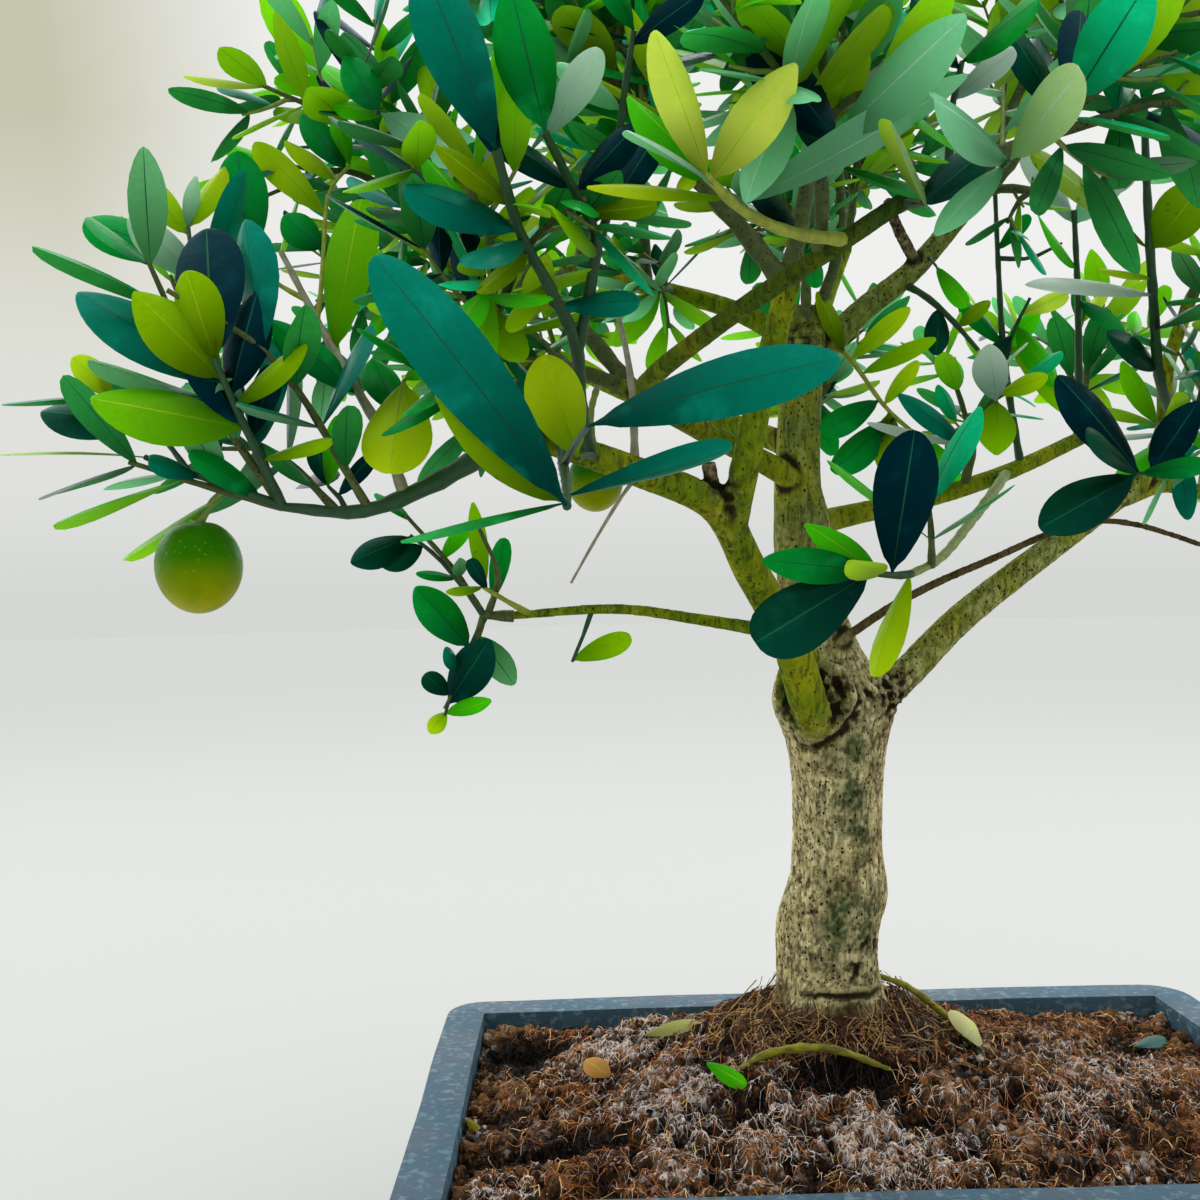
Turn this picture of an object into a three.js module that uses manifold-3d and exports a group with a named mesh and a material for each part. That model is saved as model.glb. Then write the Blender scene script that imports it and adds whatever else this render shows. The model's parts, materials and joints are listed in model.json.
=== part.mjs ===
// Olive bonsai in a glazed rectangular pot, in millimetres.
// Origin at the centre of the pot's flat underside, X to the right, Y to the back, Z up.

import * as THREE from 'three';
import { mergeVertices } from 'three/addons/utils/BufferGeometryUtils.js';
import Module from 'manifold-3d';

const wasm = await Module();
wasm.setup();

const CLEARANCE = 0.3;

// Pot: outer size over the rim, wall, foot and drain holes.
const POT = {
  arcSteps: 3,
  drainSides: 10,
  plinthCorner: 6,
  cornerEase: 2,
  rimEase: 3,
  width: 270,
  depth: 165,
  height: 72,
  corner: 12,
  rimWidth: 13,
  rimHeight: 13,
  lip: 5,
  taper: 9,
  foot: 8,
  footInset: 20,
  floor: 8,
  innerCorner: 5,
  footNotchWide: 130,
  footNotchShort: 56,
  footNotchDeep: 22,
  footNotchHigh: 6,
  drainRadius: 7,
  drainSpread: 70,
};

// Soil: height at the pot's walls and on the level crown of the mound under the trunk.
const SOIL = {
  edge: 66,
  crown: 91,
  crownRadius: 25,
  swell: 1.7,
  ripple: 1.1,
  ripplesAround: 5,
  ripplesOut: 7,
  ringShares: [0.2, 0.42, 0.62, 0.8, 1],
  arcSteps: 4,
};

// Trunk: where it stands and the level of its foot cut.
const TRUNK = {
  x: -7,
  y: 14,
  foot: 91.4,
  sides: 16,
  lobes: 3,
  lobeRise: 0.035,
  lobeHeight: 22,
  keepOff: 2,
};

// Centre and radius of the trunk at heights above the foot cut.
const TRUNK_PROFILE = [
  { z: 91.4, x: -7.2, r: 16.8 },
  { z: 95, x: -7.2, r: 16.2 },
  { z: 99, x: -7.2, r: 15.8 },
  { z: 105, x: -7.5, r: 15.5 },
  { z: 119, x: -6.6, r: 15.1 },
  { z: 133, x: -4.1, r: 14.4 },
  { z: 146, x: -4, r: 13.9 },
  { z: 160, x: -3.9, r: 14.1 },
  { z: 176, x: -4, r: 15.2 },
  { z: 188, x: -4.9, r: 16.8 },
  { z: 195, x: -6.6, r: 14.8 },
  { z: 203, x: -7.6, r: 11.6 },
  { z: 217, x: -10.8, r: 10 },
  { z: 238, x: -13.6, r: 8.6 },
  { z: 255, x: -14.7, r: 7.1 },
  { z: 289, x: -12.9, r: 6.6 },
  { z: 313, x: -11.5, r: 5.3 },
];

// Swellings on the trunk: healed knots and branch collars.
const TRUNK_SWELLINGS = [
  { z: 125, turn: 0, rise: 2.6, spread: 6 },
  { z: 117, turn: 178, rise: 1.6, spread: 7 },
  { z: 187, turn: 188, rise: 3, spread: 8 },
  { z: 189, turn: -5, rise: 3.2, spread: 8 },
  { z: 172, turn: 250, rise: 1.8, spread: 10 },
  { z: 246, turn: 20, rise: 1.8, spread: 7 },
  { z: 300, turn: 30, rise: 1.6, spread: 6 },
];

// Root flare: buttresses that run out of the trunk's foot and fade upwards.
const FLARE = { turns: [22, 112, 172, 225, 290, 338], out: 2.4, width: 13, fade: 6 };

// Thin roots that show on top of the soil.
const SURFACE_ROOTS = [
  {
    name: 'surface_root_front', r: 1.7,
    points: [[-43, -14, 80], [-31, -15, 86], [-14, -18, 88.5], [4, -17, 83]],
  },
  { name: 'surface_root_right', r: 1.6, points: [[6, 12, 100], [16, 10, 97], [27, 11, 90], [36, 7, 81]] },
];

// Boughs: points along the middle of each limb and its radius at root and tip.
const BOUGHS = [
  {
    name: 'bough_left', parent: 'trunk', r: [6.2, 3.2], collar: 0.4,
    points: [
      [-10.5, 5, 172], [-13.5, -2.5, 182], [-17, -7, 192], [-23, -13, 209],
      [-36, -30, 229], [-47, -43, 246], [-69, -57, 255], [-102, -74, 265],
    ],
  },
  {
    name: 'bough_front_upright', parent: 'bough_left', r: [4.2, 3.1], collar: 1,
    points: [[-43, -38, 240], [-40, -45, 253], [-35, -49, 276], [-27, -56, 308]],
  },
  {
    name: 'bough_right', parent: 'trunk', r: [5.4, 3.4], collar: 1.8,
    points: [[0, 13, 182], [14, 12, 192], [36, 12, 213], [62, 14, 232], [100, 22, 257]],
  },
  {
    name: 'bough_right_outer', parent: 'bough_right', r: [3, 2.3], collar: 0.5,
    points: [[92, 20, 251], [108, 25, 255], [126, 30, 252], [140, 33, 256]],
  },
  {
    name: 'bough_right_rising', parent: 'bough_right', r: [2.8, 2.1], collar: 0.5,
    points: [[97, 21, 254], [105, 20, 272], [104, 15, 290], [108, 6, 312]],
  },
  {
    name: 'bough_right_back', parent: 'trunk', r: [3.8, 2.5], collar: 1,
    points: [[-12, 16, 243], [0, 24, 246], [38, 38, 254], [64, 46, 262], [95, 56, 275]],
  },
  {
    name: 'bough_left_mid', parent: 'trunk', r: [3.7, 2.7], collar: 0.9,
    points: [[-13, 12, 256], [-29, 4, 264], [-46, -12, 270], [-72, -40, 280]],
  },
  {
    name: 'bough_front_crossing', parent: 'bough_left_mid', r: [2.8, 2], collar: 0.4,
    points: [[-67, -35, 278], [-62, -58, 281], [-44, -90, 290], [-27, -110, 298], [-12, -115, 307]],
  },
  {
    name: 'bough_left_low', parent: 'bough_left', r: [1.9, 1.3], collar: 0.7,
    points: [[-27, -15, 211], [-49, -14, 215], [-72, -12, 218.5], [-109, -8, 217]],
  },
  {
    name: 'bough_left_high', parent: 'trunk', r: [3.5, 2.5], collar: 0.9,
    points: [[-12, 17, 300], [-30, 28, 314], [-52, 36, 323], [-89, 48, 334]],
  },
  {
    name: 'bough_right_high', parent: 'trunk', r: [4.3, 3], collar: 1,
    points: [[-10, 16, 294], [8, 20, 312], [25, 22, 325], [51, 27, 354]],
  },
  {
    name: 'bough_back', parent: 'trunk', r: [3.9, 2.5], collar: 1,
    points: [[-12, 18, 228], [-10, 36, 240], [-4, 66, 262], [6, 92, 284]],
  },
  {
    name: 'bough_back_left', parent: 'trunk', r: [3.7, 2.4], collar: 0.9,
    points: [[-14, 16, 268], [-34, 34, 279], [-62, 58, 291], [-88, 76, 306]],
  },
  {
    name: 'bough_back_high', parent: 'trunk', r: [3.4, 2.3], collar: 0.8,
    points: [[-12, 17, 283], [-6, 34, 300], [4, 54, 324], [14, 66, 346]],
  },
  {
    name: 'thin_shoot_right', parent: 'trunk', r: [1.5, 0.9], collar: 0.4,
    points: [[-8, 6, 204], [14, 0, 219], [38, -3, 230], [74, -5, 242], [110, -8, 232]],
  },
];

// Sawn stubs left where a limb was taken off.
const STUBS = [
  { name: 'stub_left_fork', parent: 'bough_left', r: [2.2, 2], points: [[-47, -42, 246], [-49, -46, 258]] },
  {
    name: 'stub_right_high', parent: 'bough_right_high', r: [2, 1.7],
    points: [[27, 22, 327], [19, 14, 336], [14, 8, 344]],
  },
];

// Shape of a leaf solid: its greatest width and thickness as shares of its length.
const LEAF = { width: 0.43, thick: 0.05, widest: 0.52, offset: 0.15, faceAlong: 0.6, faceUp: 0.8 };

// How a leaf is kept clear: the share of it by the twig that may touch, its gaps, where it is tried.
const LEAF_CLEAR = { free: 0.16, twig: 1, leaf: 1.4, shares: [0.2, 0.35, 0.5, 0.65, 0.8, 1] };

// Shoots: radii, spacing and spread in degrees of the leaf pairs, and how much each may vary.
const SHOOT = {
  r: 1.15,
  tip: 0.75,
  stem: 1.6,
  pitch: 11,
  tipGap: 2,
  firstShare: 0.05,
  spread: 50,
  tipSpread: 34,
  spreadVaries: 20,
  turnVaries: 24,
  lift: 0.28,
  liftFrom: 0.35,
  smallest: 0.82,
  sizeVaries: 0.34,
  tipLeaf: 0.88,
  limbGap: 2,
  leafRoom: 0.8,
  ringStep: 22,
  checkStep: 2,
  checkGap: 0.5,
  marks: 12,
};

// The fan of shoots in a mass: how it leans outwards and up, where it leaves the stem, its reach.
const FAN = {
  outward: 0.55,
  up: 0.15,
  from: 0.55,
  along: 0.43,
  turnVaries: 0.6,
  bend: 0.1,
  reach: 0.6,
  varies: 0.1,
  least: 0.1,
  step: 0.06,
};

// Rings along the limbs, the collar's fade, and the step of the lines that leaves are kept off.
const LIMB = { ringStep: 15, thick: 4, thickSides: 8, thinSides: 6, collar: 9, keepStep: 8, rootTip: 0.6 };
const FRUIT = { sides: 8, rings: 6, sunk: 1 };
const ROUGHNESS = { glaze: 0.3, soil: 0.95, bark: 0.85, bough: 0.7, root: 0.8, leaf: 0.45 };
const LEAF_SIZES = [1, 0.82, 0.66];
const CROWN_MIDDLE = [-10, 5, 300];
const CELL_GAP = 0.5;

// Masses of foliage: middle and half sizes of each one's space, and the route of its stem.
const MASSES = [
  {
    name: 'foliage_left_tip', parent: 'bough_left', seed: 11, shoots: 2, pairs: 2, leaf: 34,
    at: [-170, -80, 280], size: [62, 50, 64],
    stem: [[-98, -72, 264], [-119, -78, 251], [-136, -80, 244.5], [-155, -79, 246]],
    leads: [
      { points: [[-155, -79, 246], [-168, -85, 268], [-182, -91, 303]], pairs: 4, leaf: 33, roll: 20 },
      { points: [[-155, -79, 246], [-172, -81, 251], [-190, -83, 257]], pairs: 2, leaf: 36, roll: 60 },
      { points: [[-168, -85, 268], [-176, -70, 285], [-186, -62, 306]], pairs: 2, leaf: 30, roll: 0 },
    ],
    fruit: [{ on: 1, over: [-168, -80, 250], at: [-175, -80, 232], r: 10.2, tall: 1.1 }],
  },
  {
    name: 'foliage_left_low', parent: 'bough_left_low', seed: 12, shoots: 0, pairs: 2, leaf: 24,
    at: [-127, -14, 222], size: [44, 36, 50],
    stem: [[-104, -8, 217], [-111, -8, 217.4], [-114, -8.5, 217.5]],
    leads: [
      { points: [[-113, -8, 217.5], [-117, -8, 205], [-125, -10, 190]], pairs: 4, leaf: 21, roll: 40 },
      { points: [[-113, -8, 217.5], [-121, -12, 231], [-134, -18, 247]], pairs: 3, leaf: 25, roll: 0 },
      { points: [[-112, -8, 217], [-108, -14, 229], [-113, -18, 243]], pairs: 2, leaf: 23, roll: 70 },
    ],
  },
  {
    name: 'foliage_left_mid', parent: 'bough_left_mid', seed: 13, shoots: 4, pairs: 3, leaf: 32,
    at: [-105, -24, 284], size: [54, 54, 50],
    stem: [[-68, -37, 279], [-82, -38, 284], [-100, -36, 289]],
    fruit: [{ on: 0.3, over: [-80, -22, 274], at: [-79, -16, 256], r: 8.2, tall: 1.08 }],
  },
  {
    name: 'foliage_left_upper', parent: 'bough_left_mid', seed: 14, shoots: 4, pairs: 3, leaf: 34,
    at: [-142, -42, 344], size: [60, 58, 58],
    stem: [[-69, -37, 280], [-84, -30, 300], [-108, -28, 322], [-134, -36, 336]],
  },
  {
    name: 'foliage_left_back', parent: 'bough_left_high', seed: 15, shoots: 4, pairs: 3, leaf: 34,
    at: [-146, 44, 316], size: [62, 60, 54],
    stem: [[-84, 46, 332], [-104, 50, 330], [-130, 48, 324]],
  },
  {
    name: 'foliage_front_left', parent: 'bough_left', seed: 16, shoots: 3, pairs: 3, leaf: 36,
    at: [-96, -110, 298], size: [58, 62, 60],
    stem: [[-97, -71, 263], [-104, -88, 271], [-104, -106, 284]],
    leads: [
      { points: [[-104, -100, 280], [-100, -128, 292], [-104, -140, 304]], pairs: 2, leaf: 44, roll: 40 },
    ],
  },
  {
    name: 'foliage_front_centre', parent: 'bough_front_crossing', seed: 17, shoots: 4, pairs: 3, leaf: 36,
    at: [-34, -122, 330], size: [56, 56, 56],
    stem: [[-30, -106, 296], [-32, -120, 308], [-35, -130, 318]],
    leads: [
      { points: [[-34, -128, 315], [-44, -142, 322], [-56, -150, 333]], pairs: 2, leaf: 40, roll: 30 },
    ],
  },
  {
    name: 'foliage_front_right', parent: 'bough_front_crossing', seed: 18, shoots: 4, pairs: 3, leaf: 38,
    at: [44, -100, 330], size: [60, 60, 56],
    stem: [[-15, -114, 305], [4, -114, 315], [28, -108, 324]],
  },
  {
    name: 'foliage_front_upper', parent: 'bough_front_upright', seed: 19, shoots: 4, pairs: 3, leaf: 35,
    at: [-20, -60, 372], size: [56, 56, 56],
    stem: [[-28, -55, 304], [-24, -60, 326], [-20, -66, 350]],
  },
  {
    name: 'foliage_front_left_upper', parent: 'bough_front_upright', seed: 20, shoots: 4, pairs: 3, leaf: 35,
    at: [-86, -66, 364], size: [58, 58, 56],
    stem: [[-29, -55, 303], [-44, -60, 320], [-64, -68, 338], [-76, -72, 350]],
  },
  {
    name: 'foliage_right_front_low', parent: 'bough_right_back', seed: 21, shoots: 0, pairs: 2, leaf: 36,
    at: [4, -48, 238], size: [54, 46, 40],
    stem: [[62, 44, 261], [52, 26, 254], [36, 0, 243], [16, -34, 231], [4, -50, 227]],
    leads: [
      { points: [[4, -50, 227], [-1, -53, 226.5], [-7, -56, 227]], pairs: 2, leaf: 36, roll: 12 },
      { points: [[12, -41, 229], [10, -48, 238], [8, -53, 247]], pairs: 1, leaf: 36, roll: 70 },
    ],
  },
  {
    name: 'foliage_right_front', parent: 'bough_right_rising', seed: 22, shoots: 4, pairs: 3, leaf: 34,
    at: [102, -36, 284], size: [58, 58, 50],
    stem: [[105, 19, 274], [102, 2, 272], [98, -16, 270], [94, -32, 272]],
    leads: [
      { points: [[99, -12, 270], [88, -26, 262], [80, -34, 254]], pairs: 3, leaf: 33, roll: 15 },
    ],
  },
  {
    name: 'foliage_right_mid', parent: 'bough_right_back', seed: 34, shoots: 3, pairs: 3, leaf: 27,
    at: [44, 28, 286], size: [46, 40, 38],
    stem: [[46, 40, 256], [48, 36, 268], [46, 31, 280]],
  },
  {
    name: 'foliage_right_outer', parent: 'bough_right_outer', seed: 23, shoots: 4, pairs: 3, leaf: 34,
    at: [146, 32, 286], size: [60, 60, 54],
    stem: [[136, 32, 255], [146, 33, 260], [156, 32, 270]],
  },
  {
    name: 'foliage_right_high', parent: 'bough_right_rising', seed: 24, shoots: 4, pairs: 3, leaf: 35,
    at: [120, -4, 356], size: [60, 60, 58],
    stem: [[107, 8, 308], [112, 2, 322], [122, -4, 340]],
  },
  {
    name: 'foliage_right_back', parent: 'bough_right_back', seed: 25, shoots: 4, pairs: 3, leaf: 34,
    at: [100, 90, 312], size: [60, 60, 54],
    stem: [[91, 55, 273], [98, 66, 284], [104, 80, 297]],
  },
  {
    name: 'foliage_right_upper', parent: 'bough_right_high', seed: 26, shoots: 4, pairs: 3, leaf: 35,
    at: [62, 10, 396], size: [58, 56, 56],
    stem: [[49, 26, 351], [54, 22, 366], [58, 15, 380]],
  },
  {
    name: 'foliage_front_high', parent: 'bough_right_high', seed: 27, shoots: 4, pairs: 3, leaf: 35,
    at: [52, -58, 380], size: [56, 54, 54],
    stem: [[47, 26, 349], [50, 4, 352], [52, -22, 360], [54, -44, 368]],
  },
  {
    name: 'foliage_back', parent: 'bough_back', seed: 28, shoots: 4, pairs: 3, leaf: 35,
    at: [10, 112, 310], size: [60, 60, 54],
    stem: [[4, 88, 281], [8, 102, 290], [12, 116, 299]],
  },
  {
    name: 'foliage_back_left', parent: 'bough_back_left', seed: 29, shoots: 4, pairs: 3, leaf: 35,
    at: [-88, 100, 326], size: [60, 60, 56],
    stem: [[-85, 74, 304], [-90, 86, 311], [-94, 99, 318]],
  },
  {
    name: 'foliage_back_high', parent: 'bough_back_high', seed: 30, shoots: 4, pairs: 3, leaf: 35,
    at: [24, 76, 386], size: [58, 58, 56],
    stem: [[13, 64, 343], [16, 70, 356], [20, 78, 370]],
  },
  {
    name: 'foliage_back_left_high', parent: 'bough_left_high', seed: 31, shoots: 4, pairs: 3, leaf: 35,
    at: [-72, 56, 388], size: [58, 58, 56],
    stem: [[-83, 46, 332], [-80, 50, 350], [-78, 54, 370]],
  },
  {
    name: 'foliage_left_high', parent: 'bough_left_high', seed: 32, shoots: 4, pairs: 3, leaf: 35,
    at: [-80, -12, 404], size: [56, 54, 54],
    stem: [[-60, 38, 325], [-62, 24, 348], [-68, 8, 372], [-74, -2, 386]],
  },
  {
    name: 'foliage_top', parent: 'trunk', seed: 33, shoots: 4, pairs: 3, leaf: 36,
    at: [-8, 10, 418], size: [54, 54, 48],
    stem: [[-10, 14, 304], [-2, 4, 330], [-4, 0, 362], [-8, 4, 396]],
  },
];

const COLOURS = {
  glaze: 0x3f5f78,
  soil: 0x4a2616,
  bark: 0xbfb08c,
  greenBark: 0x8c9440,
  brownBark: 0x6b4a34,
  root: 0xa0a050,
  leaf: 0x2f6b2c,
};

function material(colour, roughness) {
  return new THREE.MeshStandardMaterial({ color: colour, roughness, metalness: 0 });
}

function vector(point) {
  return new THREE.Vector3(point[0], point[1], point[2]);
}

// Numbers from 0 to 1 that follow from a seed.
function seeded(seed) {
  let state = seed >>> 0;
  return () => {
    state = (state + 0x6d2b79f5) >>> 0;
    let mixed = Math.imul(state ^ (state >>> 15), 1 | state);
    mixed = (mixed + Math.imul(mixed ^ (mixed >>> 7), 61 | mixed)) ^ mixed;
    return ((mixed ^ (mixed >>> 14)) >>> 0) / 4294967296;
  };
}

// A closed solid from rings of equal count, each turning anticlockwise about the way forward.
function skin(rings) {
  const count = rings[0].length;
  const vertices = [];
  const triangles = [];
  for (const ring of rings) {
    for (const p of ring) vertices.push(p.x, p.y, p.z);
  }
  for (let i = 0; i + 1 < rings.length; i += 1) {
    for (let k = 0; k < count; k += 1) {
      const a = i * count + k;
      const b = i * count + ((k + 1) % count);
      triangles.push(a, b, a + count, b, b + count, a + count);
    }
  }
  const last = (rings.length - 1) * count;
  for (let k = 1; k + 1 < count; k += 1) {
    triangles.push(0, k + 1, k);
    triangles.push(last, last + k, last + k + 1);
  }
  return new wasm.Manifold(new wasm.Mesh({
    numProp: 3,
    vertProperties: new Float32Array(vertices),
    triVerts: new Uint32Array(triangles),
  }));
}

// A solid from one of three.js's closed geometries.
function fromGeometry(geometry) {
  const bare = geometry.clone();
  bare.deleteAttribute('normal');
  bare.deleteAttribute('uv');
  const merged = mergeVertices(bare, 1e-4);
  return new wasm.Manifold(new wasm.Mesh({
    numProp: 3,
    vertProperties: new Float32Array(merged.attributes.position.array),
    triVerts: new Uint32Array(merged.index.array),
  }));
}

function toMesh(name, body, finish) {
  const result = body.getMesh();
  const geometry = new THREE.BufferGeometry();
  geometry.setAttribute('position', new THREE.BufferAttribute(new Float32Array(result.vertProperties), 3));
  geometry.setIndex(new THREE.BufferAttribute(new Uint32Array(result.triVerts), 1));
  geometry.computeVertexNormals();
  const mesh = new THREE.Mesh(geometry, finish);
  mesh.name = name;
  return mesh;
}

// The largest piece of a cut or fused body; loose scraps are dropped.
function mainBody(body) {
  const pieces = body.decompose();
  return pieces.reduce((best, piece) => (piece.volume() > best.volume() ? piece : best));
}

// Outline of a rounded rectangle, the same number of points for every corner radius.
function roundedRing(halfWidth, halfDepth, corner, z, arcSteps = POT.arcSteps) {
  const ring = [];
  const corners = [[1, -1, -90], [1, 1, 0], [-1, 1, 90], [-1, -1, 180]];
  for (const [sx, sy, start] of corners) {
    for (let k = 0; k <= arcSteps; k += 1) {
      const turn = THREE.MathUtils.degToRad(start + (90 * k) / arcSteps);
      const x = sx * (halfWidth - corner) + corner * Math.cos(turn);
      const y = sy * (halfDepth - corner) + corner * Math.sin(turn);
      ring.push(new THREE.Vector3(x, y, z));
    }
  }
  return ring;
}

function potRing(inset, z, corner) {
  return roundedRing(POT.width / 2 - inset, POT.depth / 2 - inset, corner, z);
}

function box(width, depth, height, x, y, z) {
  const geometry = new THREE.BoxGeometry(width, depth, height);
  geometry.translate(x, y, z + height / 2);
  return fromGeometry(geometry);
}

const cavityFloor = POT.foot + POT.floor;

function cavity(gap, top) {
  return skin([
    potRing(POT.rimWidth + POT.taper + gap, cavityFloor + gap, POT.innerCorner),
    potRing(POT.rimWidth + gap, POT.height - POT.rimHeight, POT.innerCorner),
    potRing(POT.rimWidth + gap, top, POT.innerCorner),
  ]);
}

function makePot() {
  const lipBottom = POT.height - POT.rimHeight;
  const walls = skin([
    potRing(POT.lip + POT.taper + POT.cornerEase, POT.foot, POT.corner - POT.cornerEase),
    potRing(POT.lip + POT.taper, POT.foot + POT.rimEase, POT.corner),
    potRing(POT.lip, lipBottom - POT.rimEase, POT.corner),
    potRing(1, lipBottom, POT.corner),
    potRing(0, lipBottom + POT.cornerEase, POT.corner),
    potRing(0, POT.height - POT.rimEase, POT.corner),
    potRing(1, POT.height - 1, POT.corner),
    potRing(POT.rimEase, POT.height, POT.corner - POT.cornerEase),
  ]);
  const plinth = skin([
    potRing(POT.footInset, 0, POT.plinthCorner),
    potRing(POT.footInset - 1, POT.foot + 1, POT.plinthCorner),
  ]);
  let body = walls.add(plinth).subtract(cavity(0, POT.height + 1));
  const reachY = POT.depth / 2 - POT.footInset;
  const reachX = POT.width / 2 - POT.footInset;
  for (const side of [-1, 1]) {
    const longNotch = box(
      POT.footNotchWide, POT.footNotchDeep * 2, POT.footNotchHigh + 1, 0, side * reachY, -1);
    const shortNotch = box(
      POT.footNotchDeep * 2, POT.footNotchShort, POT.footNotchHigh + 1, side * reachX, 0, -1);
    const drain = new THREE.CylinderGeometry(
      POT.drainRadius, POT.drainRadius, POT.height, POT.drainSides);
    drain.rotateX(Math.PI / 2);
    drain.translate(side * POT.drainSpread, 0, 0);
    body = body.subtract(longNotch).subtract(shortNotch).subtract(fromGeometry(drain));
  }
  return toMesh('pot', body, material(COLOURS.glaze, ROUGHNESS.glaze));
}

// Height of the soil's mound: 0 at the pot's wall and 1 at the crown under the trunk.
function soilHeight(share, turn) {
  const swell = share ** SOIL.swell;
  const wave = Math.sin(SOIL.ripplesAround * turn + SOIL.ripplesOut * share);
  const ripple = SOIL.ripple * wave * Math.sin(Math.PI * share);
  return SOIL.edge + (SOIL.crown - SOIL.edge) * swell + ripple;
}

function soilBody(raise = 0) {
  const { arcSteps } = SOIL;
  const inset = POT.rimWidth + CLEARANCE;
  const halfWidth = POT.width / 2 - inset;
  const halfDepth = POT.depth / 2 - inset;
  const edge = roundedRing(halfWidth, halfDepth, POT.innerCorner, SOIL.edge + raise, arcSteps);
  const floorInset = inset + POT.taper;
  const floorRing = roundedRing(
    POT.width / 2 - floorInset, POT.depth / 2 - floorInset, POT.innerCorner, cavityFloor + CLEARANCE, arcSteps);
  const sideRing = roundedRing(halfWidth, halfDepth, POT.innerCorner, POT.height - POT.rimHeight, arcSteps);
  const rings = [floorRing, sideRing, edge];
  for (const share of SOIL.ringShares) {
    rings.push(edge.map((p) => {
      const turn = Math.atan2(p.y - TRUNK.y, p.x - TRUNK.x);
      const x = THREE.MathUtils.lerp(p.x, TRUNK.x + SOIL.crownRadius * Math.cos(turn), share);
      const y = THREE.MathUtils.lerp(p.y, TRUNK.y + SOIL.crownRadius * Math.sin(turn), share);
      return new THREE.Vector3(x, y, soilHeight(share, turn) + raise);
    }));
  }
  return skin(rings);
}

// Rings along a limb. The ring's own axes are carried along without twist.
function limbRings(points, radiusAt, sides, steps) {
  const curve = new THREE.CatmullRomCurve3(points.map(vector), false, 'centripetal');
  const rings = [];
  const start = curve.getTangentAt(0);
  let across = new THREE.Vector3(0, 0, 1).cross(start);
  if (across.lengthSq() < 0.01) across = new THREE.Vector3(1, 0, 0);
  for (let i = 0; i <= steps; i += 1) {
    const share = i / steps;
    const middle = curve.getPointAt(share);
    const along = curve.getTangentAt(share);
    across.addScaledVector(along, -across.dot(along)).normalize();
    const beyond = along.clone().cross(across);
    const ring = [];
    for (let k = 0; k < sides; k += 1) {
      const turn = (2 * Math.PI * k) / sides;
      const r = radiusAt(share, turn, middle);
      ring.push(middle.clone()
        .addScaledVector(across, r * Math.cos(turn))
        .addScaledVector(beyond, r * Math.sin(turn)));
    }
    rings.push(ring);
  }
  return rings;
}

// Radius of a tapering limb, with a collar that fades from its root.
function taper(limb, length, grow = 0) {
  return (share) => {
    const collar = (limb.collar ?? 0) * Math.exp(-(share * length) / LIMB.collar);
    return THREE.MathUtils.lerp(limb.r[0], limb.r[1], share) + collar + grow;
  };
}

function limbLength(points) {
  return new THREE.CatmullRomCurve3(points.map(vector), false, 'centripetal').getLength();
}

function limbBody(limb, grow = 0) {
  const length = limbLength(limb.points);
  const steps = Math.max(2, Math.round(length / LIMB.ringStep));
  const sides = limb.r[0] > LIMB.thick ? LIMB.thickSides : LIMB.thinSides;
  return skin(limbRings(limb.points, taper(limb, length, grow), sides, steps));
}

// Trunk rings lie level, so that its foot and its sawn top are flat.
function trunkRings(grow) {
  return TRUNK_PROFILE.map((level) => {
    const ring = [];
    for (let k = 0; k < TRUNK.sides; k += 1) {
      const turn = (2 * Math.PI * k) / TRUNK.sides;
      const lobe = TRUNK.lobeRise * Math.sin(TRUNK.lobes * turn + level.z / TRUNK.lobeHeight);
      let r = level.r * (1 + lobe) + grow;
      for (const swelling of TRUNK_SWELLINGS) {
        const away = turn - THREE.MathUtils.degToRad(swelling.turn);
        const around = Math.atan2(Math.sin(away), Math.cos(away)) * level.r;
        const rise = level.z - swelling.z;
        r += swelling.rise * Math.exp(-(around ** 2 + rise ** 2) / (2 * swelling.spread ** 2));
      }
      for (const buttress of FLARE.turns) {
        const degrees = THREE.MathUtils.radToDeg(turn) - buttress;
        const away = THREE.MathUtils.euclideanModulo(degrees + 180, 360) - 180;
        const height = level.z - TRUNK.foot;
        r += FLARE.out * Math.exp(-(((away / FLARE.width) ** 2) / 2 + height / FLARE.fade));
      }
      ring.push(new THREE.Vector3(level.x + r * Math.cos(turn), TRUNK.y + r * Math.sin(turn), level.z));
    }
    return ring;
  });
}

function trunkBody(grow = 0) {
  return skin(trunkRings(grow));
}

// Straight pieces of every limb with their radii, for keeping leaves clear of them.
function limbSegments(name, points, radiusAt, steps) {
  const curve = new THREE.CatmullRomCurve3(points.map(vector), false, 'centripetal');
  const segments = [];
  for (let i = 0; i < steps; i += 1) {
    segments.push({
      name,
      a: curve.getPointAt(i / steps),
      b: curve.getPointAt((i + 1) / steps),
      r: radiusAt((i + 0.5) / steps),
    });
  }
  return segments;
}

function distanceToSegment(p, segment) {
  const span = segment.b.clone().sub(segment.a);
  const share = THREE.MathUtils.clamp(p.clone().sub(segment.a).dot(span) / span.lengthSq(), 0, 1);
  return p.distanceTo(segment.a.clone().addScaledVector(span, share));
}

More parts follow.
